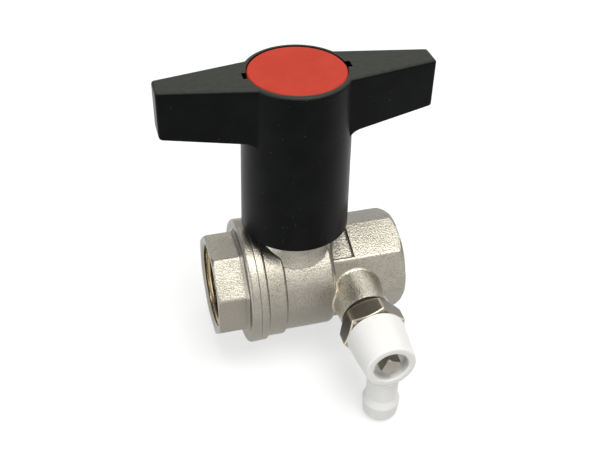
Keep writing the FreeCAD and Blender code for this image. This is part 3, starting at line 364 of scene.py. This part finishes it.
# Black moulding: colour = two blacks mixed by a cloudy noise; dust and painted light as the face
# turns upward, by z of its normal x noise; specks where the distance to the nearest cell point is
# small and a coarser noise is high; roughness = base + cloudy noise; height = fine noise.
def blackPlastic():
    look = blackLook
    f = Finish("blackPlastic")
    cloud = f.noise(look["cloud"], 4.0)
    base = f.mix(cloud.ramp(*look["cloudRange"]), look["black"], look["faded"])
    uneven = look["dustEven"] + look["dustNoise"] * f.noise(look["dust"], 4.0)
    # dust and painted light on upward faces
    base = f.mix(f.upward().ramp(*look["dustAndPaintedLightRange"]) * uneven, base, look["dustAndPaintedLight"])
    away = f.cells(look["speckSize"]).ramp(*look["speckRange"])
    speck = (1 - away) * f.noise(look["speckField"], 1.0).ramp(*look["fieldRange"])
    colour = f.mix(speck * look["speckShare"], base, look["speck"])
    rough = look["roughness"] + look["cloudRoughness"] * cloud
    normal = f.bump(f.noise(look["grain"], 3.0) * look["grainDepth"])
    return f.put(
        Base_Color=colour, Roughness=rough, Normal=normal, Specular_IOR_Level=look["gloss"]
    )


mouldedLook = {
    "cloud": 8.0, "cloudRange": (0.3, 0.75), "cloudRoughness": 0.12, "grain": 0.4, "depth": 0.008,
}


# Other mouldings: colour = two shades mixed by a cloudy noise; roughness = base + that noise;
# height = fine noise.
def mouldedPlastic(name, colour, shade, roughness, gloss=0.5):
    look = mouldedLook
    f = Finish(name)
    cloud = f.noise(look["cloud"], 4.0)
    base = f.mix(cloud.ramp(*look["cloudRange"]), colour, shade)
    rough = roughness + look["cloudRoughness"] * cloud
    normal = f.bump(f.noise(look["grain"]), 1.0, look["depth"])
    return f.put(Base_Color=base, Roughness=rough, Normal=normal, Specular_IOR_Level=gloss)


finishes = {
    "forged": forgedNickel(),
    "bright": brightNickel(),
    "spindle": plainMetal("spindleNickel", (0.34, 0.315, 0.27), 0.3, 0.2),
    "brass": plainMetal("turnedBrass", (0.72, 0.55, 0.28), 0.25, 0.3),
    "chrome": plainMetal("polishedBall", (0.8, 0.79, 0.77), 0.08, 0.4),
    "steel": plainMetal("zincSteel", (0.58, 0.58, 0.59), 0.3, 0.3),
    "black": blackPlastic(),
    "red": mouldedPlastic("redPlastic", (0.44, 0.041, 0.021), (0.4, 0.034, 0.017), 0.45, 0.12),
    "white": mouldedPlastic("whitePlastic", (0.8, 0.795, 0.78), (0.78, 0.775, 0.755), 0.34),
    "seat": mouldedPlastic("seatPlastic", (0.8, 0.8, 0.78), (0.75, 0.75, 0.73), 0.4),
    "rubber": mouldedPlastic("sealRubber", (0.02, 0.02, 0.02), (0.03, 0.03, 0.028), 0.55),
    "gasket": mouldedPlastic("darkGasket", (0.04, 0.034, 0.03), (0.025, 0.021, 0.018), 0.6),
}
print("finishes made:", len(finishes))

nodeFinish = {
    "valve_body": "forged", "end_connector": "forged", "connector_o_ring": "rubber",
    "ball": "chrome", "ball_seat_a": "seat", "ball_seat_b": "seat",
    "stem": "brass", "stem_thrust_washer": "seat", "stem_o_ring_lower": "rubber",
    "stem_o_ring_upper": "rubber", "handle": "black", "handle_cap": "red",
    "handle_screw": "steel", "handle_washer": "steel", "drain_insert": "bright",
    "drain_gasket": "gasket", "drain_spindle": "spindle", "drain_seal": "rubber",
    "drain_seal_holder": "brass", "spindle_o_ring": "rubber", "drain_spout": "white",
    "spout_o_ring": "rubber", "spout_snap_ring": "steel",
}
for nodeName, finishName in nodeFinish.items():
    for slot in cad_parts[nodeName].material_slots:
        slot.material = finishes[finishName]
print("finishes on the nodes:", len(nodeFinish))


portColumns = 400
portSides = 8
thread = {
    "major": 13.2, "depth": 1.1, "pitch": 1.814, "rowsPerTurn": 11, "flank": (0.12, 0.38),
    "start": 0.8, "full": 2.4,  # behind the mouth's face
    "runOut": ((0.2, 12.3), (1.6, 10.25)),  # behind the thread's end, radius
}
mouth = {
    "sideEnd": 2.2, "bevelStart": 2.0, "bevelEnd": 0.12,  # behind the face
    "bevelRows": 12, "bevelSoft": 0.25, "bevelEdge": (-0.05, 0.25), "bevelMark": 0.8, "lip": 0.95,
    "face": ((0.04, 0.02), (0.12, 0), (0.5, 0), (0.88, 0), (0.96, 0.02)),  # way inward, step back
    "chamfer": ((0.1, 0.83), (0.7, -0.05)),  # behind the face, over the thread's radius
}


# Rows of an octagonal port from its root over the face to the thread's end. The sign of way is the
# side that it faces. Outside: lesser of the octagon and the cone of the turned bevel. Thread:
# radius = major - depth * crest(x / pitch + angle / turn), faded out near the mouth.
def portRows(port, around):
    way, face, end = port["way"], port["face"], port["threadEnd"]
    half = port["flats"] / 2
    octagon = polygonRadius(around, portSides, half, port["cornerAt"], port["cornerSoft"])
    side = np.linspace(port["root"], face - mouth["sideEnd"], port["rows"])
    bevel = np.linspace(face - mouth["bevelStart"], face - mouth["bevelEnd"], mouth["bevelRows"])
    rows = []
    for x in np.concatenate([side, bevel]):
        cone = half + port["faceRise"] + (face - x) * port["bevelSlope"]
        outline = port["outline"](x, around, octagon)
        bevelled = smoothStep(*mouth["bevelEdge"], outline - cone) * mouth["bevelMark"]
        rows.append((way * x, softMin(outline, cone, mouth["bevelSoft"]), bevelled))
    rim = rows[-1][1]
    inner = thread["major"] + mouth["lip"]
    for inward, back in mouth["face"]:
        rows.append((way * (face - back), rim + (inner - rim) * inward, zone["turned"]))
    for back, over in mouth["chamfer"]:
        rows.append((way * (face - back), thread["major"] + over, zone["turned"]))
    start = face - thread["start"]
    count = int((start - end) / thread["pitch"] * thread["rowsPerTurn"])
    for x in np.linspace(start, end, count):
        phase = (way * x / thread["pitch"] + around / turn) % 1
        crest = smoothStep(*thread["flank"], np.minimum(phase, 1 - phase))
        fade = smoothStep(start, face - thread["full"], x)
        radius = thread["major"] - thread["depth"] * crest * fade
        rows.append((way * x, radius, zone["thread"]))
    for back, radius in thread["runOut"]:
        rows.append((way * (end - back), radius, zone["turned"]))
    return rows


# Octagon of the connector, wider at its root: + flare * (1 - distance from the root / flare)^2.
def connectorOutline(x, around, octagon):
    left = np.maximum(1 - (x - connector["root"]) / connector["flare"], 0)
    return octagon + connector["flare"] * left ** 2


connector = {
    "flats": 31.0, "face": 27.6, "root": 18.2, "way": -1, "rows": 9, "cornerAt": 22.5,
    "cornerSoft": 1.3, "faceRise": 0.6, "bevelSlope": 0.95, "threadEnd": 15.6, "flare": 1.1,
    "outline": connectorOutline,
    "profile": [  # along, radius, rounding, mark
        (-12.3, 10.2, 0), (-12.3, 13.1, 0), (-7.4, 13.1, 0),  # seat pocket
        (-7.4, 16.85, 0.3), (-15.08, 16.85, 0),  # spigot
        (-15.08, 19.9, 0.2, 0.3), (-18.2, 19.95, 1.5, 0.3), (-18.2, 17.6, 0),  # flange
    ],
}


# End connector: seat pocket, spigot and flange as a rounded profile turned about the pipe's axis,
# then the port.
def makeConnector():
    around = angles(portColumns)
    rows = lineRows(connector["profile"]) + portRows(connector, around)
    shell("connectorShell", "pipe", rows, around, "valve", "end_connector", "forged")


recess = {"end": 16.35, "depth": 0.95, "halfAngle": 42.2, "wallAngle": 0.7, "wallLength": 0.12}


# Octagon of the body: radius - depth where the angle from the top and the place along the pipe
# both lie in the recess, with soft walls.
def bodyOutline(x, around, octagon):
    angle, end = recess["halfAngle"], recess["end"]
    wallAngle, wallLength = recess["wallAngle"], recess["wallLength"]
    fromTop = np.abs(np.degrees(around) - 90)
    inAngle = smoothStep(angle + wallAngle, angle - wallAngle, fromTop)
    inLength = smoothStep(end + wallLength, end - wallLength, x)
    return octagon - recess["depth"] * inAngle * inLength


bodyPort = {
    "flats": 30.5, "face": 33.0, "root": 10.5, "way": 1, "rows": 50, "cornerAt": 0.0,
    "cornerSoft": 0.9, "faceRise": 0.15, "bevelSlope": 0.95, "threadEnd": 18.0,
    "outline": bodyOutline,
}
barrel = {
    "profile": [  # along, radius, rounding, mark
        (16.4, 10.2, 0), (12.3, 10.2, 0),  # waterway
        (12.3, 13.1, 0), (8.2, 13.1, 0),  # seat pocket
        (8.2, 15.3, 0), (-7.2, 15.3, 0),  # hollow for the ball
        (-7.2, 16.9, 0), (-15.1, 16.9, 0, 0.5),  # socket for the spigot
        (-15.1, 19.85, 0.25, 0.3), (-12.65, 19.85, 0.7),  # flange
        (-12.4, 18.95, 0.3), (-6.8, 18.95, 0.7),  # raised band
        (-6.5, 17.9, 0.4), (-4.0, 17.9, 0),
    ],
    "between": (0.0, 5.0), "radius": 17.9,
    "shoulder": 7.9, "shoulderEnd": 10.4, "shoulderRows": 44, "rounding": 1.6, "steepest": 0.97,
    "crease": 0.5,
}


# Outside of the body: greater of the octagon and the barrel, (a + b + sqrt((a - b)^2 + k^2)) / 2.
# The barrel's end falls as a circle, radius - rounding * (1 - sqrt(1 - t^2)), and then straight on.
def bodySkin(x, around):
    half, cornerAt, soft = bodyPort["flats"] / 2, bodyPort["cornerAt"], bodyPort["cornerSoft"]
    octagon = polygonRadius(around, portSides, half, cornerAt, soft)
    t = np.maximum((x - barrel["shoulder"]) / barrel["rounding"], 0)
    bent = np.minimum(t, barrel["steepest"])
    root = np.sqrt(1 - bent ** 2)
    fall = 1 - root + (t - bent) * bent / root
    drum = barrel["radius"] - barrel["rounding"] * fall
    return -softMin(-drum, -bodyOutline(x, around, octagon), barrel["crease"])


# Body: hollow, flange, raised band and barrel as a rounded profile turned about the pipe's axis,
# then the shoulder and port.
def makeBody():
    around = angles(portColumns)
    rows = lineRows(barrel["profile"])
    shoulder = np.linspace(barrel["shoulder"], barrel["shoulderEnd"], barrel["shoulderRows"])
    for x in (*barrel["between"], *shoulder):
        rows.append((x, bodySkin(x, around), zone["cast"]))
    rows += portRows(bodyPort, around)
    shell("bodyShell", "pipe", rows, around, "valve", "valve_body", "forged")


# Halves the stretch where a value changes from negative to positive, until it is a point.
def bisect(value, low, high):
    for _ in range(halvings):
        middle = (low + high) / 2
        positive = value(middle) > 0
        low = np.where(positive, low, middle)
        high = np.where(positive, middle, high)
    return (low + high) / 2


foot = {
    "tallest": 60.0, "probe": 0.01, "sink": 0.008, "crowding": 1.5,
    "pastLast": 0.1,  # radians
    "nearest": 0.3, "farthest": 2.2,  # in blends
}


# Foot of a round stub on any base. Rays fan out from the centre of a ball of the blend's radius k
# in the corner, and each point is where (max(k - a, 0)^p + max(k - b, 0)^p)^(1/p) equals
# max(k, min(a, b)), with a the distance to the stub and b the distance to the base. Above p = 2 the
# curve starts softly.
def footRows(stub, blend, gap, around, power, count):
    reach = stub + blend
    low = np.zeros(around.shape)
    height = bisect(lambda h: gap(reach, around, h) - blend, low, low + foot["tallest"])
    e = foot["probe"]
    slopeOut = gap(reach + e, around, height) - gap(reach - e, around, height)
    slopeUp = gap(reach, around, height + e) - gap(reach, around, height - e)
    last = np.arctan2(slopeUp, slopeOut) + foot["pastLast"]
    fan = (1 - np.linspace(1, 0, count) ** foot["crowding"])[:, None] * last

    def joined(s):
        radius = reach - s * np.cos(fan)
        a = radius - stub
        b = gap(radius, around, height - s * np.sin(fan)) + foot["sink"]
        corner = np.maximum(blend - a, 0) ** power + np.maximum(blend - b, 0) ** power
        return corner ** (1 / power) - np.maximum(blend, np.minimum(a, b))

    s = bisect(joined, foot["nearest"] * blend + 0 * fan, foot["farthest"] * blend + 0 * fan)
    return reach - s * np.cos(fan), height - s * np.sin(fan)


# Radial distance from the body's outside, seen along the pipe.
def bodyGap(x, y, z):
    return np.hypot(y, z) - bodySkin(x, np.arctan2(z, -y) % turn)


neck = {
    "radius": 11.0, "top": 29.0, "edge": 0.4, "bore": 5.1, "boreEnd": 18.0, "pocket": 7.3,
    "inside": 16.6,  # radius of the hidden inner wall, about the pipe
    "sink": 1.1,  # foot's last row under the skin
    "blend": 3.2, "blendChange": 1.0, "blendSide": 2.0, "power": 2.4, "footRows": 44,
    "columns": 360,
}


# Neck: rounded top, the foot's fillet down to the barrel and octagon, and the stem's bore.
# The fillet is wider towards port A and at the sides: blend - change * cos a + side * sin^2 a.
def makeNeck():
    around = angles(neck["columns"])

    def gap(radius, angle, z):
        return bodyGap(radius * np.cos(angle), radius * np.sin(angle), z)

    blend = neck["blend"] - neck["blendChange"] * np.cos(around)
    blend = blend + neck["blendSide"] * np.sin(around) ** 2
    power, count = neck["power"], neck["footRows"]
    radius, height = footRows(neck["radius"], blend, gap, around, power, count)
    across = radius[-1] * np.cos(around)
    side = radius[-1] * np.sin(around)
    scale = 1 - neck["sink"] / np.hypot(side, height[-1])
    wall = np.sqrt(neck["inside"] ** 2 - (neck["pocket"] * np.sin(around)) ** 2)
    rows = [
        (neck["top"], neck["bore"], zone["cast"]),
        (neck["top"], neck["radius"] - neck["edge"], zone["cast"]),
        (neck["top"] - neck["edge"], neck["radius"], zone["cast"]),
    ]
    rows += [(high, out, zone["cast"]) for high, out in zip(height, radius)]
    rows += [
        (height[-1] * scale, np.hypot(across, side * scale), zone["cast"]),
        (wall, neck["pocket"], zone["cast"]),
        (neck["boreEnd"], neck["bore"], zone["cast"]),
    ]
    shell("neckFoot", "stem", rows, around, "valve", "valve_body", "forged")


boss = {
    "radius": 8.3, "draft": 0.35, "end": 25.4, "bore": 6.6, "boreEnd": 12.6,
    "sideStart": 22.0, "rim": ((0, 0.35), (0.1, 0.1)), "rimEnd": 0.4,  # behind the end, inward
    "sink": (1.2, 0.6),  # foot's last row under the skin: down, inward
    "blend": 0.7, "power": 2.0, "footRows": 28, "columns": 280,
}


# Drain boss: end face with a rounded rim, side with a slight draft, the foot's fillet on the
# octagon, and the bore. The side carries painted light, which fades out down the foot.
def makeBoss():
    around = angles(boss["columns"])

    def gap(radius, angle, u):
        return bodyGap(drainX - ballX + radius * np.cos(angle), -u, radius * np.sin(angle))

    power, count = boss["power"], boss["footRows"]
    radius, height = footRows(boss["radius"], boss["blend"], gap, around, power, count)
    end = boss["end"]
    outer = boss["radius"] - boss["draft"]
    down, inward = boss["sink"]
    rows = [(end, boss["bore"], zone["cast"])]
    rows += [(end - back, outer - less, zone["cast"]) for back, less in boss["rim"]]
    # painted light on the boss's side
    rows += [(u, outer, zone["bright"]) for u in (end - boss["rimEnd"], boss["sideStart"])]
    # the painted light fades to none down the foot
    rows += zip(height, radius, np.linspace(zone["bright"], zone["cast"], len(height)))
    rows.append((height[-1] - down, radius[-1] - inward, zone["cast"]))
    rows.append((boss["boreEnd"], boss["bore"], zone["cast"]))
    shell("drainBoss", "drain", rows, around, "valve", "valve_body", "forged")


gasket = {
    "start": 25.4, "end": 27.5, "inner": 6.62, "outer": 7.2, "soft": 0.2, "columns": 160,
}


# Sealing ring in the gap between the boss and the hexagon: a rectangle with soft outer edges,
# turned about the drain's axis.
def makeGasket():
    start, end, soft = gasket["start"], gasket["end"], gasket["soft"]
    rows = lineRows([
        (start, gasket["inner"], 0), (start, gasket["outer"], soft),
        (end, gasket["outer"], soft), (end, gasket["inner"], 0),
    ], closed=True)
    around = angles(gasket["columns"])
    shell("gasketRing", "drain", rows, around, "valve", "drain_gasket", "gasket")


insert = {
    "start": 20.6, "chamfer": 0.5, "thread": 6.5, "bore": 3.25, "well": 4.9, "wellEnd": 27.6,
    "base": 27.5, "top": 33.6, "face": 8.5, "sides": 6, "flats": 17.5, "corner": 17.7,
    "cornerSoft": 0.8, "bevelRadius": 8.68, "bevelRun": 0.58, "bevelSoft": 0.2,
    "edgeRows": 13, "edgeRun": 1.2, "sideRows": 5, "sideStart": 1.8,
    "edgeWearAndHighlight": 0.45, "wornAndHighlitCorner": 137.7, "focus": 4, "leastWearAndHighlight": 0.3,
    "cornerWearAndHighlight": 0.07,  # radians
    "collar": 6.0, "collarRun": 0.3, "neck": 5.5, "neckEnd": 39.6, "neckSoft": 0.4,
    "grooves": ((34.95, 36.85, 4.23), (37.85, 38.75, 5.1)),  # start, end, radius
    "columns": 360,
}


# Drain insert: thread, hexagon and neck with two grooves. Hexagon = lesser of the six-sided
# outline and two cones, bevel radius + distance from the end face / run. Edges and corners are
# marked with wear and a painted highlight, by exp(-(distance / width)^2), and one corner most, by a
# power of a cosine.
def makeInsert():
    around = angles(insert["columns"])
    base, top, bore, hub = insert["base"], insert["top"], insert["bore"], insert["neck"]
    start, well, wellEnd = insert["start"], insert["well"], insert["wellEnd"]
    sides, corner, soft = insert["sides"], insert["corner"], insert["cornerSoft"]
    outline = polygonRadius(around, sides, insert["flats"] / 2, corner, soft)
    step = turn / sides
    fromCorner = (around - np.radians(corner) + step / 2) % step - step / 2
    # wear and a painted highlight, strongest at one corner
    towards = np.maximum(np.cos(around - np.radians(insert["wornAndHighlitCorner"])), 0)
    share = insert["leastWearAndHighlight"] + (1 - insert["leastWearAndHighlight"]) * towards ** insert["focus"]
    wornAndHighlit = np.exp(-(fromCorner / insert["cornerWearAndHighlight"]) ** 2) * share
    rows = lineRows([
        (wellEnd, bore, 0), (wellEnd, well, 0), (start, well, 0),
        (start, insert["thread"] - insert["chamfer"], 0),
        (start + insert["chamfer"], insert["thread"], 0), (base, insert["thread"], 0),
        (base, insert["face"], 0),
    ])
    ends = np.linspace(0, insert["edgeRun"], insert["edgeRows"])
    inset = insert["sideStart"]
    side = np.linspace(base + inset, top - inset, insert["sideRows"])
    for u in (*(base + ends), *side, *(top - ends)[::-1]):
        cone = insert["bevelRadius"] + min(u - base, top - u) / insert["bevelRun"]
        # the bevels' edges carry wear and a painted highlight
        edge = np.exp(-((outline - cone) / insert["edgeWearAndHighlight"]) ** 2)
        rows.append((u, softMin(outline, cone, insert["bevelSoft"]), np.maximum(edge, wornAndHighlit)))
    corners = [(top, insert["face"], 0), (top, insert["collar"], 0)]
    corners.append((top + insert["collarRun"], hub, 0))
    for near, far, radius in insert["grooves"]:
        corners += [(near, hub, 0), (near, radius, 0), (far, radius, 0), (far, hub, 0)]
    corners += [(insert["neckEnd"], hub, insert["neckSoft"]), (insert["neckEnd"], bore, 0)]
    rows += lineRows(corners)
    shell("insertHexagon", "drain", rows, around, "valve", "drain_insert", "bright", sharp=28)


spout = {
    "root": 34.0, "mouth": 47.7, "rootRadius": 9.1, "mouthRadius": 7.65, "bore": 5.55,
    "opening": 5.35, "wall": 43.9, "wallBack": 41.4, "spindleHole": 3.25, "lead": 0.4,
    "rootSoft": (0.1, 0.35), "rimSoft": (0.8, 0.55), "wallSoft": (0.5, 0.2),  # roundings
    "columns": 300,
}


# Spout: a profile turned about the drain's axis, of a cone with a rounded mouth rim, the recessed
# wall round the key, and the bore behind it.
def makeSpout():
    root, mouthEnd, bore, lead = spout["root"], spout["mouth"], spout["bore"], spout["lead"]
    wall, wallBack, hole = spout["wall"], spout["wallBack"], spout["spindleHole"]
    rootIn, rootOut = spout["rootSoft"]
    rimOut, rimIn = spout["rimSoft"]
    wallOut, wallIn = spout["wallSoft"]
    rows = lineRows([
        (root, bore + lead, rootIn), (root, spout["rootRadius"], rootOut),
        (mouthEnd, spout["mouthRadius"], rimOut), (mouthEnd, spout["opening"], rimIn),
        (wall, spout["opening"], wallOut), (wall, hole, wallIn),
        (wallBack, hole, 0), (wallBack, bore, 0), (root + lead, bore, 0),
    ], closed=True)
    around = angles(spout["columns"])
    shell("spoutCone", "drain", rows, around, "spout", "drain_spout", "white", sharp=40)


nozzle = {
    "radius": 4.8, "blend": 0.5, "power": 2.0, "footRows": 10, "top": 7.5, "sideStart": 11.0,
    "flareTop": 15.8, "flareSoft": 1.0, "edge": 18.2, "edgeSoft": 0.1, "end": 23.4,
    "bead": 5.69, "tip": ((0.7, 0.35, 0.4), (0, 0.75, 0.3)),  # behind the end, inward, rounding
    "bore": 3.0, "lead": (0.4, 0.3), "leadSoft": (0.2, 0.1), "boreEnd": 9.0, "columns": 260,
}


# Hose nozzle: a small fillet under the spout's cone, then a profile of tube, flare, bead and bore
# turned about the nozzle's axis. Distance to the cone = hypot(r cos a, d) - (root radius - slope *
# distance from the root).
def makeNozzle():
    around = angles(nozzle["columns"])
    slope = (spout["rootRadius"] - spout["mouthRadius"]) / (spout["mouth"] - spout["root"])

    def gap(radius, angle, down):
        u = nozzleU + radius * np.sin(angle)
        cone = spout["rootRadius"] - slope * (u - spout["root"])
        return np.hypot(radius * np.cos(angle), down) - cone

    tube, bead, end, bore = nozzle["radius"], nozzle["bead"], nozzle["end"], nozzle["bore"]
    power, count = nozzle["power"], nozzle["footRows"]
    radius, height = footRows(tube, nozzle["blend"], gap, around, power, count)
    rows = [(nozzle["top"], bore, zone["cast"])]
    rows += [(high, out, zone["cast"]) for high, out in zip(height[::-1], radius[::-1])]
    corners = [
        (nozzle["sideStart"], tube, 0), (nozzle["flareTop"], tube, nozzle["flareSoft"]),
        (nozzle["edge"], bead, nozzle["edgeSoft"]),
    ]
    corners += [(end - back, bead - less, soft) for back, less, soft in nozzle["tip"]]
    back, over = nozzle["lead"]
    corners += [
        (end, bore + over, nozzle["leadSoft"][0]), (end - back, bore, nozzle["leadSoft"][1]),
        (nozzle["boreEnd"], bore, 0),
    ]
    rows += lineRows(corners)
    shell("spoutNozzle", "nozzle", rows, around, "spout", "drain_spout", "white", sharp=40)


makeConnector()
makeBody()
makeNeck()
makeBoss()
print("body and connector made")
makeGasket()
makeInsert()
makeSpout()
makeNozzle()
print("drain made")


floorLook = {"height": -0.0245, "size": 4.0, "colour": (0.42, 0.42, 0.42), "lift": 0.6}


# Floor: lit pale grey, plus a lift in colour that camera, glossy and transmitted rays see.
def makeFloor():
    look = floorLook
    size, height = look["size"], look["height"]
    corners = [(x * size, y * size, height) for x, y in ((-1, -1), (1, -1), (1, 1), (-1, 1))]
    mesh = bpy.data.meshes.new("floor")
    mesh.from_pydata(corners, [], [(0, 1, 2, 3)])
    f = Finish("paleFloor")
    seen = f.any.node("ShaderNodeLightPath", out="Is Camera Ray")
    rays = seen.socket.node.outputs
    for ray in ("Is Glossy Ray", "Is Transmission Ray"):
        seen = seen + Wire(f.tree, rays[ray])
    lift = f.mix(seen, (0.0, 0.0, 0.0), (look["lift"],) * 3)
    f.put(Base_Color=look["colour"], Roughness=1.0, Specular_IOR_Level=0.0)
    mesh.materials.append(f.put(Emission_Color=lift, Emission_Strength=1.0))
    floor = bpy.data.objects.new("floor", mesh)
    bpy.context.scene.collection.objects.link(floor)


lights = {
    "key": {
        "place": (0.17, -0.24, 0.9), "size": (0.7, 0.8), "power": 8.9,
        "colour": (1.0, 0.985, 0.955),
    },
    "back": {
        "place": (0.25, 0.95, 0.85), "size": (2.2, 1.0), "power": 5.3, "colour": (1.0, 1.0, 1.0),
    },
    "left": {
        "place": (-0.95, -0.35, 0.35), "size": (0.9, 0.8), "power": 4.8,
        "colour": (0.96, 0.98, 1.0),
    },
    "front": {
        "place": (0.2, -1.05, 0.55), "size": (1.0, 0.8), "power": 3.3,
        "colour": (1.0, 0.985, 0.95),
    },
}
aim = Vector((0.035, -0.01, 0.02))
worldLook = {"colour": (0.97, 0.98, 1.0), "strength": 0.2}


# Soft rectangular lamps that all point at the valve, and a dim even sky.
def makeLights():
    for name, light in lights.items():
        lamp = bpy.data.lights.new(name, "AREA")
        lamp.shape = "RECTANGLE"
        lamp.size, lamp.size_y = light["size"]
        lamp.energy = light["power"]
        lamp.color = light["colour"]
        holder = bpy.data.objects.new(name, lamp)
        holder.location = light["place"]
        towards = aim - Vector(light["place"])
        holder.rotation_euler = towards.to_track_quat("-Z", "Y").to_euler()
        bpy.context.scene.collection.objects.link(holder)
    world = bpy.data.worlds.new("studio")
    world.use_nodes = True
    sky = world.node_tree.nodes["Background"]
    sky.inputs["Color"].default_value = (*worldLook["colour"], 1)
    sky.inputs["Strength"].default_value = worldLook["strength"]
    bpy.context.scene.world = world


view = {
    "place": (-0.032366, -0.209068, 0.192284), "right": (0.96313, -0.26829, 0.02002),
    "up": (0.15221, 0.60474, 0.78174), "back": (-0.22184, -0.74987, 0.62328), "lens": 53.48,
    "sensor": 36, "nearest": 0.01,
}


# Camera at the photograph's angle: its three axes are the columns of its turn.
def makeCamera():
    data = bpy.data.cameras.new("camera")
    data.sensor_width = view["sensor"]
    data.lens = view["lens"]
    data.clip_start = view["nearest"]
    camera = bpy.data.objects.new("camera", data)
    turned = Matrix((view["right"], view["up"], view["back"])).transposed()
    camera.matrix_world = Matrix.Translation(view["place"]) @ turned.to_4x4()
    bpy.context.scene.collection.objects.link(camera)
    bpy.context.scene.camera = camera


makeFloor()
makeLights()
makeCamera()
bpy.context.scene.view_settings.view_transform = "Standard"
print("floor, lights and camera set")
